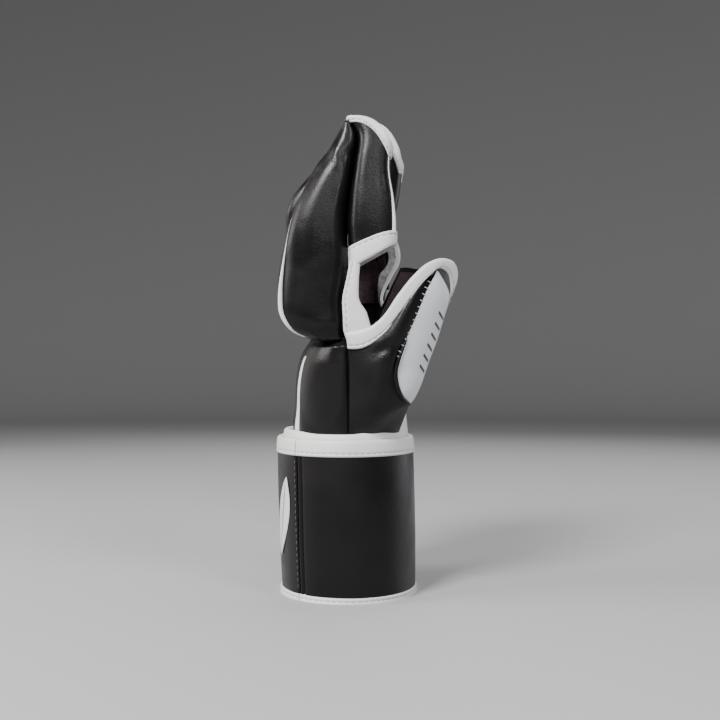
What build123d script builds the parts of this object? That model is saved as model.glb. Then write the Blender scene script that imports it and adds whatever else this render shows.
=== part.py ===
from build123d import *
import os

# Left-hand MMA sparring glove, standing on its cuff, in millimetres.
# +Z runs from the cuff to the fingertips, +X is the palm side and -X the back of the hand,
# -Y is the thumb side and +Y the little-finger side. The origin is the middle of the cuff's
# lower opening. The hand goes in from below; fingers leave through the four sleeves.

os.makedirs("parts", exist_ok=True)

# ---- driving dimensions -------------------------------------------------------------------

GAP = 0.2  # clearance between sewn layers
RUN = 0.6  # clearance between bodies that move on each other
FAR = 100.0  # past every face of the glove, for cutting blocks

# Cuff layers, each an ellipse (half thickness along X, half width along Y).
HAND_TUBE = (27.6, 36.1)
WRAP_OUT = (31.0, 39.5)
TAPE_MID = (31.95, 40.45)
STRAP_IN = (32.9, 41.4)
STRAP_OUT = (35.0, 43.5)
LEATHER = 2.0
WRAP_LOW, WRAP_HIGH = 1.0, 79.0
WRAP_BINDING_HIGH = 87.0
STRAP_LOW, STRAP_HIGH = 5.0, 72.5
STRAP_BINDING_HIGH = 81.5
BINDING_PROUD = 0.7

# The strap's free end wraps the back of the wrist; angles are ellipse parameters in degrees.
FLAP_HINGE_ANGLE, FLAP_FREE_ANGLE = 226.5, 120.0
TAPE_MARGIN = 6.0
TAPE_LOW, TAPE_HIGH = 8.0, 70.0
FIXED_STRAP_CLEARANCE = (0.9, 2.0)  # degrees left free at the flap's fold and at its free end
FLAP_LOW = 0.6
BADGE_LOW, BADGE_HIGH, BADGE_THICK = 22.0, 62.0, 0.6
BADGE_Y, BADGE_LEAN, BADGE_BELLY = -19.0, 5.0, 6.5

# Hand part between the cuff and the fold between the two back pads.
FOLD_Z = 129.0
HAND_LOW = 62.0
HAND_HIGH = FOLD_Z - 2.5
HAND_TOP_TUBE = (27.0, 45.0)
SEAM_X = 1.4  # side seam between the back pads and the palm leather
PAD_LOW = 66.0
LOWER_PAD_THICK = 12.0
LINING = 1.6
COVER = 1.5
HOLLOW_X = LOWER_PAD_THICK - HAND_TUBE[0]  # where the lower pad meets the lining
HOLLOW_LENGTH, HOLLOW_HALF_WIDTH, HOLLOW_CORNER = 90.0, 31.0, 12.0
PANEL_EDGE_Y = 24.0
PALM_TOP_Z, PALM_NOTCH_X, PALM_OPEN_Y = 108.0, 10.0, 30.0

# Knuckle section above the fold.
KNUCKLE_LOW = FOLD_Z + 2.0
KNUCKLE_HIGH = 174.0
PAD_HALF_WIDTH = 48.5
PAD_CORNER = 17.0
PAD_BACK_X = -36.0
PALM_FACE_X = 24.0
KNUCKLE_HOLLOW_X, KNUCKLE_HOLLOW_Y, KNUCKLE_HOLLOW_CORNER = -8.0, 39.0, 10.0
KNUCKLE_LINING_X = -1.5
SIDE_PANEL_Y = 46.5  # outer face of the side panels of the knuckle section
PALM_STRAP_X, PALM_STRAP_Y, PALM_EDGE_WIDTH = 21.5, 28.0, 3.8

# Fingers: four sleeves side by side, each turning on a line across the hand.
FINGERS = ("index", "middle", "ring", "little")
FINGER_PITCH = 24.0
FINGER_GAP = 0.35
CURL_X, CURL_Z = 1.0, 165.0
FINGER_PAD_LOW = 176.6
SLEEVE_WALL = 1.6
SLEEVE_CORNER = 8.0
TIP_BACK_Z, TIP_PALM_Z = 238.0, 220.0
SLEEVE_BACK_Z, SLEEVE_PALM_Z = 164.8, 174.5
TIP_BINDING = 7.0
SLEEVE_BINDING = 8.0

# Thumb: a scoop that turns about a line across the hand near its base.
THUMB_X, THUMB_Z = 18.5, 112.5
THUMB_ROOT_R = 12.0
THUMB_NEAR_Y, THUMB_FAR_Y = -46.0, -18.0
THUMB_WALL = 2.0
THUMB_LINING = 1.0
THUMB_PAD, THUMB_PAD_MARGIN = 6.0, 1.0

# Outlines in the side view, as (x, z) pairs.
THUMB_CUT = [(PALM_NOTCH_X, 136.0), (60.0, 136.0), (60.0, 92.0), (30.0, 98.0)]
WEB_CORNER = [(SEAM_X, 121.0), (SEAM_X, HAND_HIGH), (6.0, HAND_HIGH), (6.6, 121.0)]
SIDE_PANEL = [(0.2, 127.4), (23.5, 132.6), (23.5, 157.0), (0.2, 160.0)]
PALM_EDGE = [(20.9, 136.0), (24.1, 136.0), (24.1, 156.5), (20.9, 156.5)]
PAD_BACK_LINE = [
    (-16.0, 129.8), (-28.0, 133.0), (-34.0, 143.0), (-35.0, 158.0), (-33.5, 174.0),
    (-29.5, 193.0), (-22.5, 210.0), (-13.0, 226.0), (-5.0, 236.0),
]
PAD_INNER_LINE = [(0.0, 236.0), (0.0, 172.0), (-1.0, 150.0), (-2.0, 129.8)]
WEB_STRIP = [
    (-1.7, 131.2), (8.0, 131.2), (7.5, 142.0), (6.0, 150.0),
    (6.6, 159.0), (1.9, 159.0), (0.3, 155.0), (-0.7, 149.0),
]
THUMB_RIM_LINE = [(11.8, 134.8), (17.3, 139.5), (24.4, 149.7), (31.4, 158.3), (38.5, 164.6)]
THUMB_FAR_RIM_LINE = [(20.0, 147.0), (24.0, 153.5), (30.0, 160.0), (36.0, 164.0)]
THUMB_TIP = [(45.0, 167.4), (46.0, 165.0), (47.6, 159.5)]
THUMB_BACK_LINE = [
    (52.0, 165.0), (53.6, 159.0), (52.6, 152.0), (48.2, 142.0), (43.0, 127.0), (36.4, 111.0), (34.0, 104.5),
]
THUMB_FAR_FOOT = [(24.0, 104.0), (20.5, 110.0), (20.5, 135.0)]
THUMB_RIM_SHIFT = (5.0, -4.9)


def side_plane(y):
    """The plane y = constant with local axes X and Z; a positive extrusion from it runs towards -Y."""
    return Plane.XZ.offset(-y)


def finish(builder, name):
    """Labels a finished sub-part and writes it to its own STEP file."""
    builder.part.label = name
    export_step(builder.part, f"parts/{name}.step")
    return builder.part


def wedge(start_angle, end_angle):
    """A pie-shaped outline round the Z axis between two ellipse parameters, counter-clockwise."""
    steps, reach = 8, 3.0
    corners = [(0, 0)]
    for step in range(steps + 1):
        corner = Vector(reach * STRAP_OUT[0], 0).rotate(
            Axis.Z, start_angle + (end_angle - start_angle) * step / steps
        )
        corners.append((corner.X, corner.Y * STRAP_OUT[1] / STRAP_OUT[0]))
    return corners


def cuff_band(name, inner, outer, low, high, angles=None):
    """One layer of the cuff: an upright elliptic band, all round or between two angles."""
    with BuildPart() as band:
        with BuildSketch(Plane.XY.offset(low)):
            Ellipse(*outer)
            Ellipse(*inner, mode=Mode.SUBTRACT)
        extrude(amount=high - low)
        if angles:
            with BuildSketch(Plane.XY.offset(low)):
                with BuildLine():
                    Polyline(*wedge(*angles), close=True)
                make_face()
            extrude(amount=high - low, mode=Mode.INTERSECT)
    return finish(band, name)


def grown(ellipse, amount):
    """An ellipse given as a pair of radii, grown by an amount all round."""
    return (ellipse[0] + amount, ellipse[1] + amount)


# ---- cuff ---------------------------------------------------------------------------------

fold_clearance, free_clearance = FIXED_STRAP_CLEARANCE
fixed_angles = (FLAP_HINGE_ANGLE + fold_clearance, FLAP_FREE_ANGLE + 360 - free_clearance)
flap_angles = (FLAP_FREE_ANGLE, FLAP_HINGE_ANGLE)
tape_angles = (FLAP_FREE_ANGLE + TAPE_MARGIN, FLAP_HINGE_ANGLE - TAPE_MARGIN)

cuff_band("cuff_wrap", grown(HAND_TUBE, GAP), WRAP_OUT, WRAP_LOW, WRAP_HIGH)
wrap_in, wrap_face, strap_back = grown(HAND_TUBE, GAP), grown(WRAP_OUT, GAP / 2), grown(STRAP_IN, -GAP / 2)
cuff_band("cuff_wrap_binding", wrap_in, grown(WRAP_OUT, BINDING_PROUD), WRAP_HIGH, WRAP_BINDING_HIGH)
cuff_band("loop_tape", wrap_face, grown(TAPE_MID, -GAP / 2), TAPE_LOW, TAPE_HIGH, tape_angles)
cuff_band("strap_padding", wrap_face, strap_back, STRAP_LOW, STRAP_HIGH, fixed_angles)
cuff_band("cuff_strap", STRAP_IN, STRAP_OUT, STRAP_LOW, STRAP_HIGH, fixed_angles)

binding_in = grown(STRAP_IN, -GAP)
binding_out = grown(STRAP_OUT, BINDING_PROUD)
bare_in = grown(WRAP_OUT, BINDING_PROUD + GAP)
cuff_band("strap_top_binding", bare_in, binding_out, STRAP_HIGH, STRAP_BINDING_HIGH, fixed_angles)
cuff_band("strap_bottom_binding", grown(WRAP_OUT, GAP), binding_out, 0.0, STRAP_LOW, fixed_angles)

# The flap is the strap's free end, held down by the hook tape on the loop tape.
cuff_band("strap_flap", STRAP_IN, STRAP_OUT, STRAP_LOW, STRAP_HIGH, flap_angles)
cuff_band("flap_hook_tape", grown(TAPE_MID, GAP / 2), strap_back, TAPE_LOW, TAPE_HIGH, tape_angles)
cuff_band("flap_top_binding", binding_in, binding_out, STRAP_HIGH, STRAP_BINDING_HIGH, flap_angles)
cuff_band("flap_bottom_binding", binding_in, binding_out, FLAP_LOW, STRAP_LOW, flap_angles)

# A plain lens-shaped badge on the outside of the flap.
badge_mid_z = (BADGE_LOW + BADGE_HIGH) / 2
badge_top = (BADGE_Y - BADGE_LEAN, BADGE_HIGH)
badge_foot = (BADGE_Y + BADGE_LEAN, BADGE_LOW)
with BuildPart() as flap_badge:
    with BuildSketch(Plane.XY.offset(BADGE_LOW)):
        Ellipse(*grown(STRAP_OUT, GAP / 2 + BADGE_THICK))
        Ellipse(*grown(STRAP_OUT, GAP / 2), mode=Mode.SUBTRACT)
    extrude(amount=BADGE_HIGH - BADGE_LOW)
    with BuildSketch(Plane.YZ):
        with BuildLine():
            ThreePointArc(badge_top, (BADGE_Y - BADGE_BELLY, badge_mid_z), badge_foot)
            ThreePointArc(badge_foot, (BADGE_Y + BADGE_BELLY, badge_mid_z), badge_top)
        make_face()
    extrude(amount=-FAR, mode=Mode.INTERSECT)
finish(flap_badge, "flap_badge")

# ---- hand part ----------------------------------------------------------------------------


def keep(x=(-FAR, FAR), y=(-FAR, FAR), z=(-FAR, 3 * FAR), mode=Mode.INTERSECT):
    """Keeps only what lies within a block, in the part that is being built, or cuts it away."""
    sizes = [high - low for low, high in (x, y, z)]
    with Locations([((x[0] + x[1]) / 2, (y[0] + y[1]) / 2, (z[0] + z[1]) / 2)]):
        Box(*sizes, mode=mode)


def hand_tube(inset, low=HAND_LOW, high=HAND_HIGH):
    """The solid outline of the hand between the cuff and the fold, drawn in by an inset."""
    with BuildPart() as body:
        with BuildSketch(Plane.XY.offset(low)):
            Ellipse(*grown(HAND_TUBE, -inset))
        extrude(amount=WRAP_BINDING_HIGH - low)
        with BuildSketch(Plane.XY.offset(WRAP_BINDING_HIGH)):
            Ellipse(*grown(HAND_TUBE, -inset))
        with BuildSketch(Plane.XY.offset(high)):
            Ellipse(*grown(HAND_TOP_TUBE, -inset))
        loft(ruled=True)
    return body.part


def hand_hollow(low, high, inset=0.0):
    """The space that the hand takes on the palm side of the back pads, drawn in by an inset."""
    with BuildPart() as space:
        with BuildSketch(Plane.XY.offset(low)):
            with Locations((HOLLOW_X + inset + HOLLOW_LENGTH / 2, 0)):
                Rectangle(HOLLOW_LENGTH, 2 * (HOLLOW_HALF_WIDTH - inset))
            fillet(vertices().group_by(Axis.X)[0], radius=HOLLOW_CORNER - inset)
        extrude(amount=high - low)
    return space.part


# The lower pad: a leather cover, open towards the hand, round a foam core and over a lining.
lower_pad_top = HAND_HIGH - COVER
with BuildPart() as lower_pad_cavity:
    add(hand_tube(COVER, PAD_LOW + COVER, lower_pad_top))
    keep(x=(-FAR, SEAM_X - GAP - COVER))

with BuildPart() as lower_pad_cover:
    add(hand_tube(0, PAD_LOW))
    keep(x=(-FAR, SEAM_X - GAP))
    add(hand_hollow(HAND_LOW, HAND_HIGH), mode=Mode.SUBTRACT)
    add(lower_pad_cavity.part, mode=Mode.SUBTRACT)
finish(lower_pad_cover, "lower_pad_cover")

with BuildPart() as lower_pad_foam:
    add(hand_tube(COVER + GAP, PAD_LOW + COVER + GAP, lower_pad_top - GAP))
    keep(x=(-FAR, SEAM_X - COVER - 2 * GAP))
    add(hand_hollow(HAND_LOW, HAND_HIGH), mode=Mode.SUBTRACT)
finish(lower_pad_foam, "lower_pad_foam")

with BuildPart() as back_lining:
    add(hand_hollow(PAD_LOW, HAND_HIGH, GAP))
    add(hand_hollow(HAND_LOW, HAND_HIGH + 1, GAP + LINING), mode=Mode.SUBTRACT)
    keep(x=(-FAR, SEAM_X - GAP))
finish(back_lining, "back_lining")

# The palm-side leather, opened for the palm and cut round the thumb's turning circle.
with BuildPart() as palm_leather:
    add(hand_tube(0))
    add(hand_tube(LEATHER), mode=Mode.SUBTRACT)
    keep(x=(SEAM_X, FAR))
    with BuildSketch(side_plane(0)):
        with Locations((THUMB_X, THUMB_Z)):
            Circle(THUMB_ROOT_R + RUN)
        with BuildLine():
            Polyline((THUMB_X, THUMB_Z), *THUMB_CUT, close=True)
        make_face()
    extrude(amount=FAR, mode=Mode.SUBTRACT)
    keep(x=(PALM_NOTCH_X, FAR), y=(-FAR, PALM_OPEN_Y), z=(PALM_TOP_Z, 2 * FAR), mode=Mode.SUBTRACT)

for panel_name, near_y, far_y in (
    ("radial_panel", -FAR, -PANEL_EDGE_Y),
    ("palm_heel", -PANEL_EDGE_Y + GAP, PANEL_EDGE_Y - GAP),
    ("ulnar_panel", PANEL_EDGE_Y, FAR),
):
    with BuildPart() as panel:
        add(palm_leather.part)
        keep(y=(near_y, far_y))
    finish(panel, panel_name)

# White edging of the web between the knuckle strip and the thumb, at the foot of the opening.
with BuildPart() as web_binding:
    with BuildSketch(side_plane(-HAND_TOP_TUBE[1] - GAP)):
        with BuildLine():
            Polyline(*WEB_CORNER, close=True)
        make_face()
    extrude(amount=LEATHER)
finish(web_binding, "web_binding")

# ---- knuckle section ----------------------------------------------------------------------


def side_plate(outline, outer_y, thickness):
    """An upright plate with a side-view outline, from a face at outer_y inwards."""
    inner_y = outer_y - thickness if outer_y > 0 else outer_y + thickness
    with BuildPart() as plate:
        with BuildSketch(side_plane(max(outer_y, inner_y))):
            with BuildLine():
                Polyline(*outline, close=True)
            make_face()
        extrude(amount=thickness)
    return plate.part


def pad_block(inset=0.0, palm_reach=0.0):
    """The whole upper pad as one block with rounded sides, drawn in, or carried on to the palm side."""
    back_line = [(x + inset, z) for x, z in PAD_BACK_LINE]
    inner_line = [(x - inset + palm_reach, z) for x, z in PAD_INNER_LINE]
    with BuildPart() as block:
        with BuildSketch(side_plane(PAD_HALF_WIDTH)):
            with BuildLine():
                Spline(*back_line)
                Polyline(back_line[-1], *inner_line, back_line[0])
            make_face()
        extrude(amount=2 * PAD_HALF_WIDTH)
        with BuildSketch(Plane.XY.offset(FAR)):
            with Locations((PAD_BACK_X + inset + HOLLOW_LENGTH / 2, 0)):
                Rectangle(HOLLOW_LENGTH, 2 * (PAD_HALF_WIDTH - inset))
            fillet(vertices().group_by(Axis.X)[0], radius=PAD_CORNER - inset)
        extrude(amount=2 * FAR, mode=Mode.INTERSECT)
    return block.part


def knuckle_hollow(inset=0.0):
    """The space for the knuckles on the palm side of the pad, drawn in by an inset."""
    with BuildPart() as space:
        with BuildSketch(Plane.XY.offset(FAR)):
            with Locations((KNUCKLE_HOLLOW_X + inset + HOLLOW_LENGTH / 2, 0)):
                Rectangle(HOLLOW_LENGTH, 2 * (KNUCKLE_HOLLOW_Y - inset))
            fillet(vertices().group_by(Axis.X)[0], radius=KNUCKLE_HOLLOW_CORNER - inset)
        extrude(amount=CURL_Z - inset - FAR)
    return space.part


pad_outside = pad_block()
pad_inside = pad_block(COVER + GAP)
pad_cavity = pad_block(COVER, FAR / 2)
knuckle_space = knuckle_hollow()
lining_outside = knuckle_hollow(GAP)
lining_inside = knuckle_hollow(GAP + LINING)

with BuildPart() as knuckle_cavity:
    add(pad_cavity)
    keep(z=(KNUCKLE_LOW + COVER, KNUCKLE_HIGH - COVER))

with BuildPart() as knuckle_pad_cover:
    add(pad_outside)
    keep(z=(KNUCKLE_LOW, KNUCKLE_HIGH))
    add(knuckle_cavity.part, mode=Mode.SUBTRACT)
    add(knuckle_space, mode=Mode.SUBTRACT)
finish(knuckle_pad_cover, "knuckle_pad_cover")

with BuildPart() as knuckle_pad_foam:
    add(pad_inside)
    keep(z=(KNUCKLE_LOW + COVER + GAP, KNUCKLE_HIGH - COVER - GAP))
    add(knuckle_space, mode=Mode.SUBTRACT)
finish(knuckle_pad_foam, "knuckle_pad_foam")

with BuildPart() as knuckle_lining:
    add(lining_outside)
    add(lining_inside, mode=Mode.SUBTRACT)
    keep(x=(-FAR, KNUCKLE_LINING_X), z=(KNUCKLE_LOW + COVER, CURL_Z))
finish(knuckle_lining, "knuckle_lining")

# The white edge of the thumb-side opening, and the leather that closes the little-finger side.
with BuildPart() as web_edge_binding:
    add(side_plate(WEB_STRIP, -SIDE_PANEL_Y, LEATHER))
finish(web_edge_binding, "web_edge_binding")

with BuildPart() as ulnar_knuckle_panel:
    add(side_plate(SIDE_PANEL, SIDE_PANEL_Y, SIDE_PANEL_Y - PALM_STRAP_Y))
    keep(x=(-FAR, PALM_STRAP_X), y=(-FAR, SIDE_PANEL_Y - LEATHER), mode=Mode.SUBTRACT)
finish(ulnar_knuckle_panel, "ulnar_knuckle_panel")

with BuildPart() as palm_edge_binding:
    add(side_plate(PALM_EDGE, PALM_STRAP_Y - GAP, PALM_EDGE_WIDTH))
finish(palm_edge_binding, "palm_edge_binding")

# ---- fingers ------------------------------------------------------------------------------


def slanted_band(back_low, palm_low, back_high, palm_high):
    """A side-view band that leans from the back of the hand to the palm, for cutting the sleeves."""
    reach = 4.0
    share = reach / (PALM_FACE_X - CURL_X)
    left, right = CURL_X - reach, PALM_FACE_X + reach
    low_step, high_step = share * (palm_low - back_low), share * (palm_high - back_high)
    low_edge = [(left, back_low - low_step), (right, palm_low + low_step)]
    high_edge = [(right, palm_high + high_step), (left, back_high - high_step)]
    return low_edge + high_edge


def finger_tube(middle_y, band, wall_inset=0.0):
    """One finger's sleeve between two slanted lines, solid, drawn in by an inset."""
    half_x, half_y = (PALM_FACE_X - CURL_X) / 2 - wall_inset, FINGER_PITCH / 2 - FINGER_GAP - wall_inset
    with BuildPart() as tube:
        with BuildSketch(Plane.XY.offset(FAR)):
            with Locations(((CURL_X + PALM_FACE_X) / 2, middle_y)):
                RectangleRounded(2 * half_x, 2 * half_y, SLEEVE_CORNER - wall_inset)
        extrude(amount=2 * FAR)
        with BuildSketch(side_plane(middle_y + FINGER_PITCH)):
            with BuildLine():
                Polyline(*band, close=True)
            make_face()
        extrude(amount=2 * FINGER_PITCH, mode=Mode.INTERSECT)
    return tube.part


whole_band = slanted_band(FAR, FAR, 3 * FAR, 3 * FAR)
low_edge = (SLEEVE_BACK_Z, SLEEVE_PALM_Z)
low_seam = (SLEEVE_BACK_Z + SLEEVE_BINDING, SLEEVE_PALM_Z + SLEEVE_BINDING)
tip_seam = (TIP_BACK_Z - TIP_BINDING, TIP_PALM_Z - TIP_BINDING)
tip_edge = (TIP_BACK_Z, TIP_PALM_Z)
sleeve_bands = {
    "sleeve_binding": slanted_band(*low_edge, *low_seam),
    "sleeve": slanted_band(low_seam[0] + GAP, low_seam[1] + GAP, tip_seam[0] - GAP, tip_seam[1] - GAP),
    "tip_binding": slanted_band(*tip_seam, *tip_edge),
}

for finger_number, finger in enumerate(FINGERS):
    middle_y = (finger_number - 1.5) * FINGER_PITCH
    near_y, far_y = middle_y - FINGER_PITCH / 2 + FINGER_GAP, middle_y + FINGER_PITCH / 2 - FINGER_GAP

    for piece, band in sleeve_bands.items():
        outside = finger_tube(middle_y, band)
        inside = finger_tube(middle_y, whole_band, SLEEVE_WALL)
        with BuildPart() as sleeve_piece:
            add(outside)
            add(inside, mode=Mode.SUBTRACT)
        finish(sleeve_piece, f"{finger}_{piece}")

    with BuildPart() as finger_cavity:
        add(pad_cavity)
        keep(y=(near_y + COVER, far_y - COVER), z=(FINGER_PAD_LOW + COVER, 3 * FAR))

    with BuildPart() as finger_pad_cover:
        add(pad_outside)
        keep(y=(near_y, far_y), z=(FINGER_PAD_LOW, 3 * FAR))
        add(finger_cavity.part, mode=Mode.SUBTRACT)
    finish(finger_pad_cover, f"{finger}_pad_cover")

    foam_near, foam_far = near_y + COVER + GAP, far_y - COVER - GAP
    with BuildPart() as finger_pad_foam:
        add(pad_inside)
        keep(y=(foam_near, foam_far), z=(FINGER_PAD_LOW + COVER + GAP, 3 * FAR))
    finish(finger_pad_foam, f"{finger}_pad_foam")

# ---- thumb --------------------------------------------------------------------------------


def shifted(outline, by_x, by_z=0.0):
    """A list of (x, z) points moved by an amount."""
    return [(x + by_x, z + by_z) for x, z in outline]


def between(outer_line, inner_line):
    """The closed outline between two lines that run the same way."""
    return [*outer_line, *reversed(inner_line)]


thumb_back = shifted(THUMB_BACK_LINE, -THUMB_PAD)
thumb_width = THUMB_FAR_Y - THUMB_NEAR_Y
thumb_axis_point = (THUMB_X, THUMB_Z)
near_seam = shifted(THUMB_RIM_LINE, *THUMB_RIM_SHIFT)
far_seam = shifted(THUMB_FAR_RIM_LINE, *THUMB_RIM_SHIFT)
wall_top = (THUMB_TIP[-1][0] - GAP, THUMB_TIP[-1][1] - GAP)
far_face_y = THUMB_FAR_Y - THUMB_WALL
near_wall = [*shifted(near_seam, GAP, -GAP), wall_top, *thumb_back[2:], thumb_axis_point]
far_wall = [*shifted(far_seam, GAP, -GAP), wall_top, *thumb_back[2:-1], *THUMB_FAR_FOOT]
back_wall = between([wall_top, *thumb_back[2:]], shifted([wall_top, *thumb_back[2:]], -THUMB_WALL))
tip_cap = between(THUMB_TIP, shifted(THUMB_TIP, -THUMB_WALL))

with BuildPart() as thumb_shell:
    add(side_plate(near_wall, THUMB_NEAR_Y, THUMB_WALL))
    with BuildSketch(side_plane(THUMB_NEAR_Y + THUMB_WALL)):
        with Locations(thumb_axis_point):
            Circle(THUMB_ROOT_R)
    extrude(amount=THUMB_WALL)
    add(side_plate(back_wall, THUMB_NEAR_Y, thumb_width))
    add(side_plate(far_wall, far_face_y, THUMB_WALL))
finish(thumb_shell, "thumb_shell")

with BuildPart() as thumb_rim_binding:
    add(side_plate(between([*THUMB_RIM_LINE, *THUMB_TIP], near_seam), THUMB_NEAR_Y, THUMB_WALL))
    add(side_plate(tip_cap, THUMB_NEAR_Y, thumb_width))
    add(side_plate(between([*THUMB_FAR_RIM_LINE, *THUMB_TIP], far_seam), far_face_y, THUMB_WALL))
finish(thumb_rim_binding, "thumb_rim_binding")

lining_top = (wall_top[0] - THUMB_WALL - GAP, wall_top[1])
lining_back = [lining_top, *shifted(thumb_back[2:], -THUMB_WALL - GAP)]
near_lining = [*shifted(THUMB_RIM_LINE, 2.0, -2.0), *lining_back, thumb_axis_point]
far_lining = [*shifted(THUMB_FAR_RIM_LINE, 2.0, -2.0), *lining_back[:-1], *shifted(THUMB_FAR_FOOT, 1.0)]
lining_near_y = THUMB_NEAR_Y + THUMB_WALL + GAP
lining_far_y = far_face_y - GAP
lining_strip = between(lining_back, shifted(lining_back, -THUMB_LINING))
with BuildPart() as thumb_lining:
    add(side_plate(near_lining, lining_near_y, THUMB_LINING))
    add(side_plate(lining_strip, lining_near_y, lining_far_y - lining_near_y))
    add(side_plate(far_lining, lining_far_y - THUMB_LINING, THUMB_LINING))
finish(thumb_lining, "thumb_lining")

# The thumb's own pad: a cover, open towards the shell, round a foam core.
pad_near_y, pad_width = THUMB_NEAR_Y + THUMB_PAD_MARGIN, thumb_width - 2 * THUMB_PAD_MARGIN
pad_middle = THUMB_BACK_LINE[1:-1]
pad_outline = between(THUMB_BACK_LINE, shifted(THUMB_BACK_LINE, GAP - THUMB_PAD))
pad_core = between(shifted(pad_middle, -COVER), shifted(pad_middle, -THUMB_PAD))
with BuildPart() as thumb_pad_cover:
    add(side_plate(pad_outline, pad_near_y, pad_width))
    add(side_plate(pad_core, pad_near_y + COVER, pad_width - 2 * COVER), mode=Mode.SUBTRACT)
finish(thumb_pad_cover, "thumb_pad_cover")

foam_outline = between(shifted(pad_middle, -COVER - GAP), shifted(pad_middle, 2 * GAP - THUMB_PAD))
with BuildPart() as thumb_pad_foam:
    add(side_plate(foam_outline, pad_near_y + COVER + GAP, pad_width - 2 * COVER - 2 * GAP))
    keep(z=(pad_middle[-1][1] + 2 * GAP, pad_middle[0][1] - GAP))
finish(thumb_pad_foam, "thumb_pad_foam")
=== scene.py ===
"""Looks of a left-hand MMA sparring glove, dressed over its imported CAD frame.

Sizes are in millimetres, with +Z to the fingertips, +X to the palm side and -Y to the thumb side.
"""
import logging
import math
from dataclasses import dataclass
from enum import Enum
from typing import Any, Sequence

import bpy
import numpy as np
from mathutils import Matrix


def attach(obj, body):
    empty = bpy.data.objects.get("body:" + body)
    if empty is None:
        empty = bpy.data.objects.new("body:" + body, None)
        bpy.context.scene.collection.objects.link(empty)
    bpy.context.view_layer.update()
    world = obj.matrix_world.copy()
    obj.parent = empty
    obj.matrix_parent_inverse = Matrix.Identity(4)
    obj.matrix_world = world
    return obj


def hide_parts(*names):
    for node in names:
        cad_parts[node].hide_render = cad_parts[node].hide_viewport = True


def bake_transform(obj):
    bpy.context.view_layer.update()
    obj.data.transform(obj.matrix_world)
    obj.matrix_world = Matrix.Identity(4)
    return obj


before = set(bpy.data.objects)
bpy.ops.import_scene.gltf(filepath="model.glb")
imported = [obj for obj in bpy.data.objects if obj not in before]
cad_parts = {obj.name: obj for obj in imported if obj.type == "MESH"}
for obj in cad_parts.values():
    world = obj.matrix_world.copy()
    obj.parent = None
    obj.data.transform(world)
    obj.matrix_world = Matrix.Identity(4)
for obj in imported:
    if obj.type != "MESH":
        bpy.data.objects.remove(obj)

LOG = logging.getLogger("glove")
MM = 0.001
TAU = 2 * math.pi
Array = np.ndarray


class Cap(Enum):
    """How the two ends of an open loft are closed."""

    FAN = "fan"
    LADDER = "ladder"


# ---- lines and surfaces --------------------------------------------------------------------


def curve(points: Sequence[Sequence[float]], count: int, closed: bool = False) -> Array:
    """A smooth line through a few points: cubic Hermite spans with centred tangents, respaced evenly along its length.

    Args:
        points: the points to pass through, in millimetres.
        count: how many points to return.
        closed: whether the line runs back to its first point, which is then not repeated.

    Returns:
        An array of count points.
    """
    p = np.asarray(points, float)
    if closed:
        p = np.concatenate([p[-2:], p, p[:3]])
    knots = np.concatenate([[0], np.cumsum(np.linalg.norm(np.diff(p, axis=0), axis=1) ** 0.5)])
    slope = np.gradient(p, knots, axis=0)
    low, high = (knots[2], knots[-3]) if closed else (0, knots[-1])
    t = np.linspace(low, high, 40 * len(p))
    k = np.clip(np.searchsorted(knots, t, side="right") - 1, 0, len(p) - 2)
    h = (knots[k + 1] - knots[k])[:, None]
    u = (t[:, None] - knots[k][:, None]) / h
    fine = ((2 * u**3 - 3 * u**2 + 1) * p[k] + (u**3 - 2 * u**2 + u) * h * slope[k]
            + (3 * u**2 - 2 * u**3) * p[k + 1] + (u**3 - u**2) * h * slope[k + 1])
    run = np.concatenate([[0], np.cumsum(np.linalg.norm(np.diff(fine, axis=0), axis=1))])
    stops = np.linspace(0, run[-1], count, endpoint=not closed)
    return np.stack([np.interp(stops, run, fine[:, i]) for i in range(p.shape[1])], axis=1)


def lookup(line: Sequence[Sequence[float]], z: Array) -> Array:
    """X against Z on a smooth line of (x, z) points that rises all the way."""
    fine = curve(line, 400)
    return np.interp(z, fine[:, 1], fine[:, 0])


def step(value: Array, low: float, high: float) -> Array:
    """A smooth step from 0 at low to 1 at high: 3t^2 - 2t^3."""
    t = np.clip((np.asarray(value, float) - low) / (high - low), 0, 1)
    return t * t * (3 - 2 * t)


def hump(value: Array, middle: float, width: float) -> Array:
    """A bell of height 1 round a middle value: exp(-((value - middle) / width)^2)."""
    return np.exp(-(((value - middle) / width) ** 2))


def ripple(points: Array, seed: int, size: float, reach: float) -> Array:
    """A soft uneven field: five sine waves of random direction and phase, added up.

    Args:
        points: where to read it, in millimetres.
        seed: fixes the random directions.
        size: the field's greatest height.
        reach: the mean wavelength.

    Returns:
        One number for each point.
    """
    dice = np.random.default_rng(seed)
    directions = dice.normal(size=(5, 3))
    directions *= (TAU / reach * dice.uniform(0.6, 1.5, 5) / np.linalg.norm(directions, axis=1))[:, None]
    return size / 5 * np.sin(points @ directions.T + dice.uniform(0, TAU, 5)).sum(-1)


def unit(vectors: Array) -> Array:
    """Vectors of length 1 along the last axis."""
    return vectors / np.maximum(np.linalg.norm(vectors, axis=-1, keepdims=True), 1e-9)


def tangents(line: Array, closed: bool = False) -> Array:
    """Unit tangents along a line of points."""
    return unit(np.roll(line, -1, 0) - np.roll(line, 1, 0) if closed else np.gradient(line, axis=0))


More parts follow.
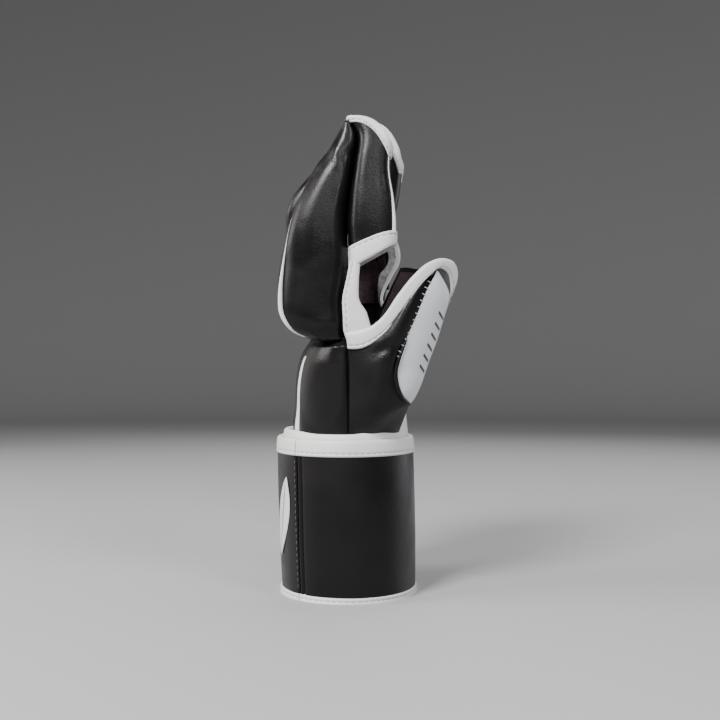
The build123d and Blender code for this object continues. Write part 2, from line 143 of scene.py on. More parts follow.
def normals(grid: Array, centre: Sequence[float], closed: bool = False) -> Array:
    """Unit normals of a grid of points, turned away from a centre.

    Args:
        grid: rows by columns of points.
        centre: a point that the normals point away from.
        closed: whether the columns run round in a ring.

    Returns:
        A unit vector for each point.
    """
    along = np.gradient(grid, axis=0)
    across = np.roll(grid, -1, 1) - np.roll(grid, 1, 1) if closed else np.gradient(grid, axis=1)
    n = unit(np.cross(along, across))
    return n * np.sign(((grid - np.asarray(centre, float)) * n).sum() or 1.0)


def rounded(c: Array, s: Array, power: Array | float) -> Array:
    """Factor that turns a circle's cosine and sine into a rounded box: (|c|^n + |s|^n)^(-1/n)."""
    return (np.abs(c) ** power + np.abs(s) ** power) ** (-1 / power)


def patch(left: Array, right: Array, low: Array, high: Array) -> Array:
    """A Coons patch: the two ruled surfaces between opposite edges, added, less the flat one between the corners.

    Args:
        left: the edge where the second parameter is 0, from low to high.
        right: the edge where the second parameter is 1, from low to high.
        low: the edge where the first parameter is 0, from left to right.
        high: the edge where the first parameter is 1, from left to right.

    Returns:
        A grid of points, rows from low to high.
    """
    u = np.linspace(0, 1, len(left))[:, None, None]
    v = np.linspace(0, 1, len(low))[None, :, None]
    corners = ((1 - u) * (1 - v) * left[0] + (1 - u) * v * right[0] + u * (1 - v) * left[-1] + u * v * right[-1])
    return (1 - v) * left[:, None] + v * right[:, None] + (1 - u) * low[None] + u * high[None] - corners


def build(name: str, points: Array, faces: Sequence[Sequence[int]], crease: float = 50.0) -> bpy.types.Object:
    """Makes a mesh object from points in millimetres.

    Args:
        name: the piece's name.
        points: its vertices.
        faces: the corner numbers of each face.
        crease: the angle in degrees above which an edge stays sharp.

    Returns:
        The new object, at the origin, with its faces outward.
    """
    mesh = bpy.data.meshes.new(name)
    mesh.from_pydata((np.asarray(points) * MM).tolist(), [], faces)
    mesh.calc_loop_triangles()
    corners = np.zeros(len(mesh.loop_triangles) * 3, int)
    mesh.loop_triangles.foreach_get("vertices", corners)
    a, b, c = np.asarray(points)[corners.reshape(-1, 3)].transpose(1, 0, 2)
    if (a * np.cross(b, c)).sum() < 0:
        mesh.flip_normals()
    mesh.shade_smooth()
    mesh.set_sharp_from_angle(angle=math.radians(crease))
    obj = bpy.data.objects.new(name, mesh)
    bpy.context.scene.collection.objects.link(obj)
    return obj


def loft(name: str, sections: Array, ring: bool = False, cap: Cap = Cap.FAN, crease: float = 50.0) -> bpy.types.Object:
    """A closed skin through closed sections: quads between neighbours, with both ends capped unless it is a ring.

    Args:
        name: the piece's name.
        sections: stations by corners of points, each station a closed loop.
        ring: whether the last station joins the first.
        cap: a fan to a middle point, or a ladder between a loop's two long sides.
        crease: the angle in degrees above which an edge stays sharp.

    Returns:
        The new object.
    """
    m, k = sections.shape[:2]
    rows, cols = np.meshgrid(np.arange(m if ring else m - 1), np.arange(k), indexing="ij")
    after, beside = (rows + 1) % m, (cols + 1) % k
    quads = np.stack([rows * k + cols, after * k + cols, after * k + beside, rows * k + beside], -1).reshape(-1, 4)
    points, faces = sections.reshape(-1, 3), quads.tolist()
    if not ring and cap is Cap.LADDER:
        i = np.arange(k // 2 - 1)
        rung = np.stack([i, i + 1, k - 2 - i, k - 1 - i], -1)
        faces += rung.tolist() + (rung[:, ::-1] + (m - 1) * k).tolist()
    elif not ring:
        points = np.concatenate([points, sections[[0, -1]].mean(1)])
        j = np.arange(k)
        near = np.stack([j, (j + 1) % k, np.full(k, m * k)], -1)
        far = np.stack([(j + 1) % k, j, np.full(k, 0)], -1) + (m - 1) * k
        far[:, 2] = m * k + 1
        faces += near.tolist() + far.tolist()
    return build(name, points, faces, crease)


def sheet(name: str, grid: Array, centre: Sequence[float], thick: float | Array, ring: bool = False) -> bpy.types.Object:
    """A sheet of leather or cloth: a grid and the same grid set in along its normals, joined all round.

    Args:
        name: the piece's name.
        grid: the outer face, rows by columns.
        centre: a point on the sheet's inner side.
        thick: its thickness, one number or one for each point.
        ring: whether the columns run round in a ring.

    Returns:
        The new object.
    """
    inner = grid - normals(grid, centre, ring) * np.broadcast_to(np.asarray(thick, float), grid.shape[:2])[..., None]
    loop = np.concatenate([grid, inner[::-1]]).transpose(1, 0, 2)
    return loft(name, loop, ring, Cap.LADDER)


def welt(name: str, line: Array, radius: Array | float, sides: int = 10) -> bpy.types.Object:
    """A round cord along an upright line, its circles level: line + radius * (cos t, sin t, 0)."""
    turn = np.arange(sides) * TAU / sides
    wheel = np.stack([np.cos(turn), np.sin(turn), 0 * turn], -1)
    return loft(name, line[:, None] + wheel[None] * np.broadcast_to(radius, len(line))[:, None, None])


def fold_profile(width: Array, rise: float, depth: float) -> tuple[Array, Array]:
    """Section of a folded binding: flat with a groove at its stitches, rounded over the edge and back behind.

    Args:
        width: the binding's width at each station.
        rise: how far it stands above the leather.
        depth: how far it reaches behind the leather's face.

    Returns:
        For each station and corner, the distance from the sewn edge and the height.
    """
    fixed = np.array([0, 0.1, 0.5, 1.1, 1.7, 2.3, 3.0, 0, -1.6, -0.8, -0.25, 0.1, 0.2, 0.1, -0.4, 0, 1.2, 0.2])
    share = np.array([0, 0, 0, 0, 0, 0, 0, 0.6, 1, 1, 1, 1, 1, 1, 1, 0.5, 0, 0])
    level = np.array([-0.3, 0.45, 0.85, 0.98, 0.6, 1.0, 1.06, 1.1, 1.08, 0.92, 0.6, 0.15, -0.3, -0.75, -1, -1, -1, -0.7])
    height = np.where(level > 0, level * rise, -np.abs(level) * depth)
    return fixed[None] + share[None] * width[:, None], np.broadcast_to(height, (len(width), len(height)))


@dataclass
class Binding:
    """A folded strip sewn over an edge, between its sewn edge and its folded edge.

    Attributes:
        name: the piece's name.
        sewn: the line of its sewn edge.
        folded: the line of its folded edge, point for point.
        away: a point on the inner side of the glove, or the axis if ring is set.
        rise: how far it stands above the leather.
        depth: how far it reaches behind the leather's face.
        ring: whether the strip is closed.
        pitch: the distance between its stitches.
        taper: the share of its run over which it thins out at its far end.
    """

    name: str
    sewn: Array
    folded: Array
    away: Sequence[float]
    rise: float = 0.9
    depth: float = 2.2
    ring: bool = False
    pitch: float = 3.1
    taper: float = 0.0

    def frames(self) -> tuple[Array, Array, Array]:
        """Along, across and outward unit vectors at each station."""
        along = tangents((self.sewn + self.folded) / 2, self.ring)
        across = unit(self.folded - self.sewn)
        out = unit(np.cross(along, across))
        side = ((self.sewn + self.folded) / 2 - np.asarray(self.away, float)) * out
        return along, across, out * np.sign(side.sum())

    def strip(self) -> bpy.types.Object:
        """Builds the strip, slightly drawn in between its stitches and rippled along its run."""
        _, across, out = self.frames()
        width = np.linalg.norm(self.folded - self.sewn, axis=1)
        reach, height = fold_profile(width, self.rise, self.depth)
        run = np.concatenate([[0], np.cumsum(np.linalg.norm(np.diff(self.sewn, axis=0), axis=1))])
        pucker = 0.09 * np.cos(TAU * run / self.pitch)[:, None] * np.exp(-(((reach - 1.7) / 0.9) ** 2)) * (height > 0)
        sections = self.sewn[:, None] + across[:, None] * reach[..., None] + out[:, None] * (height + pucker)[..., None]
        sections = sections + out[:, None] * ripple(sections, len(self.name), 0.12, 14.0)[..., None]
        if self.taper:
            thin = 1 - 0.93 * step(run / run[-1], 1 - self.taper, 1.0)[:, None, None]
            heart = sections.mean(1, keepdims=True)
            sections = heart + (sections - heart) * thin
        return loft(self.name, sections, self.ring)

    def stitches(self, inset: float = 1.75, lift: float = 0.62) -> bpy.types.Object:
        """Builds the row of stitches along the sewn edge.

        Args:
            inset: their distance from the sewn edge.
            lift: their height, as a share of the strip's rise.

        Returns:
            All the stitches as one object.
        """
        _, across, out = self.frames()
        return stitch_row(f"{self.name}_stitches", self.sewn + across * inset + out * (self.rise * lift), out,
                          self.pitch, ring=self.ring)


def stitch_row(name: str, line: Array, out: Array, pitch: float, ring: bool = False, length: float = 0.68,
               radius: float = 0.24) -> bpy.types.Object:
    """A row of thread stitches: short capsules of six sides, one at each pitch along a line.

    Args:
        name: the piece's name.
        line: the points the row follows.
        out: the outward unit vector at each point.
        pitch: the distance from one stitch to the next.
        ring: whether the row is closed.
        length: a stitch's length as a share of the pitch.
        radius: the thread's radius.

    Returns:
        All the stitches as one object.
    """
    path = np.concatenate([line, line[:1]]) if ring else line
    lift = np.concatenate([out, out[:1]]) if ring else out
    run = np.concatenate([[0], np.cumsum(np.linalg.norm(np.diff(path, axis=0), axis=1))])
    count = max(2, int(run[-1] / pitch))
    stops = (np.arange(count) + 0.5) * run[-1] / count
    centre = np.stack([np.interp(stops, run, path[:, i]) for i in range(3)], 1)
    ahead = np.stack([np.interp(stops + 0.4, run, path[:, i]) for i in range(3)], 1)
    behind = np.stack([np.interp(stops - 0.4, run, path[:, i]) for i in range(3)], 1)
    along = unit(ahead - behind)
    up = unit(np.stack([np.interp(stops, run, lift[:, i]) for i in range(3)], 1))
    side = np.cross(along, up)
    half = pitch * length / 2
    stations = np.array([[-1, 0.02], [-0.9, 0.7], [-0.4, 1], [0.4, 1], [0.9, 0.7], [1, 0.02]])
    angle = np.arange(6) * TAU / 6
    wheel = side[:, None] * np.cos(angle)[None, :, None] + up[:, None] * np.sin(angle)[None, :, None]
    dip = up * -radius * 0.9
    rings = (centre[:, None, None] + along[:, None, None] * (stations[:, 0] * half)[None, :, None, None]
             + dip[:, None, None] * (stations[:, 0] ** 4)[None, :, None, None]
             + wheel[:, None] * (stations[:, 1] * radius)[None, :, None, None])
    count, m, k = rings.shape[:3]
    row, col = np.meshgrid(np.arange(m - 1), np.arange(k), indexing="ij")
    beside = (col + 1) % k
    quads = np.stack([row * k + col, row * k + beside, (row + 1) * k + beside, (row + 1) * k + col], -1).reshape(-1, 4)
    ends = np.array([list(range(k))[::-1], [(m - 1) * k + i for i in range(k)]])
    base = (np.arange(count) * m * k)[:, None, None]
    return build(name, rings.reshape(-1, 3),
            (quads[None] + base).reshape(-1, 4).tolist() + (ends[None] + base).reshape(-1, k).tolist())


# ---- finishes ------------------------------------------------------------------------------


class Value:
    """A shader socket that can be added, subtracted, multiplied and divided, on either side of a number."""

    def __init__(self, graph: "Graph", socket: Any) -> None:
        """Keeps the graph and the socket."""
        self.graph, self.socket = graph, socket

    def _join(self, operation: str, other: Any, swap: bool = False) -> "Value":
        """Adds a Math node for this value and another."""
        first, second = (other, self) if swap else (self, other)
        return self.graph.node("ShaderNodeMath", {"operation": operation}, {0: first, 1: second})[0]

    def __add__(self, other: Any) -> "Value":
        """self + other"""
        return self._join("ADD", other)

    __radd__ = __add__

    def __sub__(self, other: Any) -> "Value":
        """self - other"""
        return self._join("SUBTRACT", other)

    def __rsub__(self, other: Any) -> "Value":
        """other - self"""
        return self._join("SUBTRACT", other, True)

    def __mul__(self, other: Any) -> "Value":
        """self * other"""
        return self._join("MULTIPLY", other)

    __rmul__ = __mul__

    def __truediv__(self, other: Any) -> "Value":
        """self / other"""
        return self._join("DIVIDE", other)

    def __rtruediv__(self, other: Any) -> "Value":
        """other / self"""
        return self._join("DIVIDE", other, True)

    def size(self) -> "Value":
        """The value without its sign."""
        return self._join("ABSOLUTE", 0.0)

    def least(self, other: Any) -> "Value":
        """The smaller of two values."""
        return self._join("MINIMUM", other)

    def wave(self) -> "Value":
        """The sine of the value."""
        return self._join("SINE", 0.0)

    def rises(self, low: float, high: float, start: float = 0.0, end: float = 1.0) -> "Value":
        """A smooth step from start at low to end at high."""
        return self.graph.node("ShaderNodeMapRange", {"interpolation_type": "SMOOTHSTEP"}, {
            "Value": self, "From Min": low, "From Max": high, "To Min": start, "To Max": end})[0]


class Graph:
    """The node tree of one material, with a Principled shader at its end."""

    def __init__(self, name: str) -> None:
        """Starts a material of that name with an empty tree."""
        self.material = bpy.data.materials.new(name)
        self.material.use_nodes = True
        self.tree = self.material.node_tree
        self.tree.nodes.clear()
        self.shader = self.tree.nodes.new("ShaderNodeBsdfPrincipled")
        output = self.tree.nodes.new("ShaderNodeOutputMaterial")
        self.tree.links.new(self.shader.outputs[0], output.inputs[0])

    def node(self, kind: str, settings: dict[str, Any], inputs: dict[Any, Any]) -> list[Value]:
        """Adds a node.

        Args:
            kind: its Blender type.
            settings: its properties.
            inputs: its sockets by name or number, each a constant or a Value.

        Returns:
            Its outputs.
        """
        made = self.tree.nodes.new(kind)
        for key, value in settings.items():
            setattr(made, key, value)
        for key, value in inputs.items():
            self.plug(made.inputs[key], value)
        return [Value(self, socket) for socket in made.outputs]

    def plug(self, socket: Any, value: Any) -> None:
        """Links a Value into a socket, or sets a constant on it."""
        if isinstance(value, Value):
            self.tree.links.new(value.socket, socket)
        else:
            socket.default_value = value

    def coordinates(self) -> Value:
        """The piece's own coordinates, in metres."""
        return self.node("ShaderNodeTexCoord", {}, {})[3]

    def axes(self) -> list[Value]:
        """X, Y and Z of the piece's own coordinates, in millimetres."""
        return [axis * 1000 for axis in self.node("ShaderNodeSeparateXYZ", {}, {0: self.coordinates()})]

    def noise(self, scale: float, detail: float = 2.0) -> Value:
        """Noise from 0 to 1 at that many waves to the metre."""
        return self.node("ShaderNodeTexNoise", {}, {"Vector": self.coordinates(), "Scale": scale, "Detail": detail})[0]

    def cells(self, scale: float) -> Value:
        """Distance to the nearest of a field of cell points."""
        return self.node("ShaderNodeTexVoronoi", {}, {"Vector": self.coordinates(), "Scale": scale})[0]

    def mix(self, share: Any, first: Any, second: Any) -> Value:
        """Colour between first, at share 0, and second, at share 1."""
        return self.node("ShaderNodeMix", {"data_type": "RGBA"}, {0: share, 6: first, 7: second})[2]

    def finish(self, bump: Value | None = None, distance: float = 0.0001, **sockets: Any) -> bpy.types.Material:
        """Sets the shader's sockets by name, with _ for a space, and its bump; returns the material."""
        for key, value in sockets.items():
            self.plug(self.shader.inputs[key.replace("_", " ")], value)
        if bump is not None:
            normal = self.node("ShaderNodeBump", {}, {"Strength": 1.0, "Distance": distance, "Height": bump})[0]
            self.plug(self.shader.inputs["Normal"], normal)
        return self.material


def grey(red: float, green: float, blue: float) -> tuple[float, float, float, float]:
    """A linear colour with full alpha."""
    return (red, green, blue, 1.0)


@dataclass(frozen=True)
class Leather:
    """Coated leather with a fine grain, worn slightly smoother in places.

    Attributes:
        name: the material's name.
        base: its colour.
        glow: the colour of its lighter patches.
        roughness: its mean roughness.
        grain: the depth of its grain in millimetres.
    """

    name: str = "black_leather"
    base: tuple = grey(0.0026, 0.0022, 0.0028)
    glow: tuple = grey(0.0046, 0.0038, 0.0042)
    roughness: float = 0.335
    grain: float = 0.045

    def stripe(self, graph: Graph) -> Value | None:
        """No stripe on plain leather."""
        return None

    def material(self) -> bpy.types.Material:
        """Builds the material."""
        g = Graph(self.name)
        patches = g.noise(28).rises(0.35, 0.7)
        colour = g.mix(patches, self.base, self.glow)
        rough = g.noise(60).rises(0.3, 0.7, self.roughness - 0.05, self.roughness + 0.06)
        stripe = self.stripe(g)
        if stripe is not None:
            colour = g.mix(stripe, colour, grey(0.62, 0.63, 0.64))
        grain = g.cells(1250) * self.grain + g.noise(330, 3) * 0.05 + g.noise(90, 2) * 0.16
        return g.finish(grain, 0.001, Base_Color=colour, Roughness=rough, Specular_IOR_Level=0.24)


@dataclass(frozen=True)
class StripedLeather(Leather):
    """Black leather with an inlaid white stripe up each side of a pad's back, which widens towards one end.

    Attributes:
        start: the stripe's distance from the middle and its height, at its lower end.
        end: the same at its upper end.
        widths: its half widths at the two ends.
    """

    name: str = "striped_leather"
    start: tuple[float, float] = (15.0, 81.0)
    end: tuple[float, float] = (24.5, 121.0)
    widths: tuple[float, float] = (3.6, 1.5)

    def stripe(self, graph: Graph) -> Value | None:
        """Where the stripe is white: near the line between its ends, on the back of the hand."""
        x, y, z = graph.axes()
        share = (z - self.start[1]) / (self.end[1] - self.start[1])
        middle = share * (self.end[0] - self.start[0]) + self.start[0]
        half = share * (self.widths[1] - self.widths[0]) + self.widths[0]
        inside = (half - (y.size() - middle).size()).rises(-0.15, 0.15)
        return inside * (0.0 - x).rises(2.0, 4.0) * (self.end[1] - z).rises(-0.5, 0.5)


@dataclass(frozen=True)
class Tape:
    """Smooth off-white binding tape with a faint weave.

    Attributes:
        name: the material's name.
        base: its colour.
        roughness: its roughness.
    """

    name: str = "white_binding"
    base: tuple = grey(0.60, 0.60, 0.59)
    roughness: float = 0.5

    def material(self) -> bpy.types.Material:
        """Builds the material."""
        g = Graph(self.name)
        worn = g.noise(45, 3).rises(0.3, 0.75)
        colour = g.mix(worn, self.base, grey(*(0.93 * c for c in self.base[:3])))
        grain = g.cells(1500) * 0.03 + g.noise(160, 2) * 0.12
        return g.finish(grain, 0.001, Base_Color=colour, Roughness=self.roughness)


@dataclass(frozen=True)
class Marked(Tape):
    """Smooth white leather with a short row of plain slanted dashes along the thumb's back."""

    name: str = "white_leather"
    base: tuple = grey(0.56, 0.575, 0.60)
    roughness: float = 0.42
    foot: tuple[float, float] = (35.5, 112.5)
    head: tuple[float, float] = (46.5, 143.0)
    count: int = 6

    def material(self) -> bpy.types.Material:
        """Builds the material: dashes repeat along the line from foot to head, and lean across it."""
        g = Graph(self.name)
        x, y, z = g.axes()
        run = math.dist(self.foot, self.head)
        ux, uz = (self.head[0] - self.foot[0]) / run, (self.head[1] - self.foot[1]) / run
        along = (x - self.foot[0]) * ux + (z - self.foot[1]) * uz
        across = (x - self.foot[0]) * uz - (z - self.foot[1]) * ux
        phase = (along + across * 0.7) * (math.pi * self.count / run)
        dash = phase.wave().size().rises(0.89, 0.94) * (1.7 - across.size()).rises(-0.15, 0.15)
        dash = dash * along.rises(-0.2, 0.2) * (run - along).rises(-0.2, 0.2) * (-22.0 - y).rises(0.0, 1.0)
        colour = g.mix(dash, self.base, grey(0.03, 0.03, 0.035))
        grain = g.cells(1400) * 0.02 + g.noise(120, 2) * 0.15
        return g.finish(grain, 0.001, Base_Color=colour, Roughness=self.roughness, Coat_Weight=0.1, Coat_Roughness=0.3)


@dataclass(frozen=True)
class Cloth:
    """Woven or knitted cloth, with crossed threads.

    Attributes:
        name: the material's name.
        base: its colour.
        threads: threads to the metre.
        depth: the weave's depth in millimetres.
        sheen: how much its fuzz glows at the edges.
    """

    name: str = "dark_lining"
    base: tuple = grey(0.040, 0.022, 0.026)
    threads: float = 900.0
    depth: float = 0.12
    sheen: float = 0.25

    def material(self) -> bpy.types.Material:
        """Builds the material."""
        g = Graph(self.name)
        x, y, z = g.axes()
        pace = self.threads / 1000 * TAU
        weave = (z * pace).wave() * ((x + y) * pace).wave()
        fuzz = g.noise(420, 3)
        colour = g.mix(fuzz.rises(0.3, 0.7), self.base, grey(*(1.7 * c for c in self.base[:3])))
        return g.finish(weave * self.depth + fuzz * 0.2, 0.001, Base_Color=colour, Roughness=0.85, Sheen_Weight=self.sheen)


@dataclass(frozen=True)
class Pile:
    """Hook or loop tape: a dense field of tiny tufts.

    Attributes:
        name: the material's name.
        base: its colour.
        scale: tufts to the metre.
    """

    name: str = "loop_tape"
    base: tuple = grey(0.018, 0.018, 0.019)
    scale: float = 700.0

    def material(self) -> bpy.types.Material:
        """Builds the material."""
        g = Graph(self.name)
        tufts = g.cells(self.scale)
        colour = g.mix(tufts.rises(0.1, 0.6), grey(*(1.8 * c for c in self.base[:3])), self.base)
        return g.finish(tufts * -0.5, 0.001, Base_Color=colour, Roughness=0.8, Sheen_Weight=0.3)


class Finish(Enum):
    """Every finish of the glove, by the record's slot or a finer name."""

    BLACK = Leather()
    STRIPED = StripedLeather()
    WHITE = Tape()
    THREAD = Tape("thread", grey(0.33, 0.33, 0.34), 0.7)
    DARK_THREAD = Tape("dark_thread", grey(0.055, 0.055, 0.06), 0.6)
    LEAF = Marked()
    LINING = Cloth()
    # A lighter copy of the dark lining, painted light: it stands in for the light that does not reach the cloth inside
    # the little-finger gusset.
    SIDE_LINING = Cloth("painted_light_lining", grey(0.16, 0.105, 0.118))
    KNIT = Cloth("knit_wrap", grey(0.022, 0.021, 0.022), 700.0, 0.2, 0.3)
    FLEECE = Cloth("white_fleece", grey(0.42, 0.41, 0.40), 1400.0, 0.02, 0.5)
    MESH = Cloth("mesh_cloth", grey(0.032, 0.034, 0.038), 800.0, 0.25, 0.2)
    LOOPS = Pile()
    HOOKS = Pile("hook_tape", grey(0.016, 0.016, 0.017), 550.0)
    FOAM = Pile("foam", grey(0.03, 0.03, 0.03), 400.0)

    def paint(self) -> bpy.types.Material:
        """The finish's material, built once."""
        if self not in PAINTS:
            PAINTS[self] = self.value.material()
        return PAINTS[self]


FRAMES = 16
PRESSURE = 4.0
SMOOTHING = 14

PAINTS: dict[Finish, bpy.types.Material] = {}
SLOTS = {Finish.BLACK: "black_leather", Finish.STRIPED: "black_leather",
         Finish.WHITE: "white_binding", Finish.THREAD: "white_binding", Finish.DARK_THREAD: "black_leather",
         Finish.LEAF: "white_leather", Finish.LINING: "dark_lining", Finish.SIDE_LINING: "dark_lining",
                 Finish.KNIT: "knit_wrap",
         Finish.FLEECE: "dark_lining", Finish.MESH: "dark_lining", Finish.LOOPS: "loop_tape",
         Finish.HOOKS: "hook_tape", Finish.FOAM: "foam"}


def dress(obj: bpy.types.Object, finish: Finish, body: str, replaces: Sequence[str] = (),
          bend: tuple[str, Sequence[float], Sequence[float]] | None = None) -> bpy.types.Object:
    """Gives a piece its finish and ties it to the frame; a piece with a bend is only fixed in place, not tied.

    Args:
        obj: the piece.
        finish: its finish.
        body: the body that it rides on.
        replaces: the frame's nodes that it stands for.
        bend: for a piece that would bend across a joint, the second body and the points where the bend starts and ends;
            these values are not used: the piece is only fixed in place, not tied to body, and does not bend.

    Returns:
        The piece.
    """
    obj.data.materials.clear()
    obj.data.materials.append(finish.paint())
    if bend:
        second, start, end = bend
        [c * MM for c in start]
        [c * MM for c in end]
        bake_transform(obj)
    else:
        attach(obj, body)
    if replaces:
        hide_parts(*replaces)
    return obj


def bound(edge: Binding, body: str, replaces: Sequence[str] = (), bend: Any = None) -> list[bpy.types.Object]:
    """Builds a binding and its row of stitches, dressed, on the same body and bend."""
    return [dress(edge.strip(), Finish.WHITE, body, replaces, bend), dress(edge.stitches(), Finish.THREAD, body, bend=bend)]


def inflate(obj: bpy.types.Object, held: Array, cap: float, shrink: float = -0.04) -> None:
    """Lets a pad's cover settle as cloth under inner pressure, with its seams held, and keeps the result near its pattern.

    Args:
        obj: the pad.
        held: for each vertex, how firmly the seams hold it, from 0 to 1.
        cap: the most that a point may move, in millimetres.
        shrink: the cloth's shrinkage, negative where it is cut larger than the foam.
    """
    count = len(obj.data.vertices)
    if len(held) != count:
        raise ValueError(f"{obj.name} has {count} vertices, but {len(held)} were given a hold")
    rest = np.zeros(count * 3, np.float32)
    obj.data.vertices.foreach_get("co", rest)
    rest = rest.reshape(-1, 3)
    group = obj.vertex_groups.new(name="held")
    for level in (0.25, 0.5, 0.75, 1.0):
        group.add(np.flatnonzero(np.round(held * 4) / 4 == level).tolist(), level, "REPLACE")
    cloth = obj.modifiers.new("cloth", "CLOTH")
    cloth.settings.quality = 6
    cloth.settings.mass = 0.2
    cloth.settings.tension_stiffness = cloth.settings.compression_stiffness = 25
    cloth.settings.bending_stiffness = 1.5
    cloth.settings.use_pressure = True
    cloth.settings.uniform_pressure_force = PRESSURE
    cloth.settings.vertex_group_mass = "held"
    cloth.settings.shrink_min = shrink
    cloth.settings.effector_weights.gravity = 0.0
    cloth.point_cache.frame_start, cloth.point_cache.frame_end = 1, FRAMES
    scene = bpy.context.scene
    for number in range(1, FRAMES + 1):
        scene.frame_set(number)
    settled = obj.evaluated_get(bpy.context.evaluated_depsgraph_get()).to_mesh()
    moved = np.zeros(count * 3, np.float32)
    settled.vertices.foreach_get("co", moved)
    shift = moved.reshape(-1, 3) - rest
    length = np.linalg.norm(shift, axis=1, keepdims=True)
    limit = cap * MM
    shift = np.where(np.isfinite(shift), shift, 0) * (limit * np.tanh(length / limit) / np.maximum(length, 1e-9))
    ends = np.zeros(len(obj.data.edges) * 2, int)
    obj.data.edges.foreach_get("vertices", ends)
    first, second = ends.reshape(-1, 2).T
    beside = np.maximum(np.bincount(ends, minlength=count), 1)[:, None]
    for _ in range(SMOOTHING):
        around = np.stack([np.bincount(np.concatenate([first, second]),
                np.concatenate([shift[second, i], shift[first, i]]), count)
                           for i in range(3)], 1) / beside
        shift = (shift * 0.4 + around * 0.6) * (1 - held[:, None] * 0.5)
    obj.modifiers.remove(cloth)
    obj.vertex_groups.clear()
    scene.frame_set(1)
    obj.data.vertices.foreach_set("co", (rest + shift).ravel())
    obj.data.update()
    LOG.info("%s settled, greatest shift %.2f mm", obj.name, float(np.linalg.norm(shift, axis=1).max()) / MM)


# ---- cuff ----------------------------------------------------------------------------------


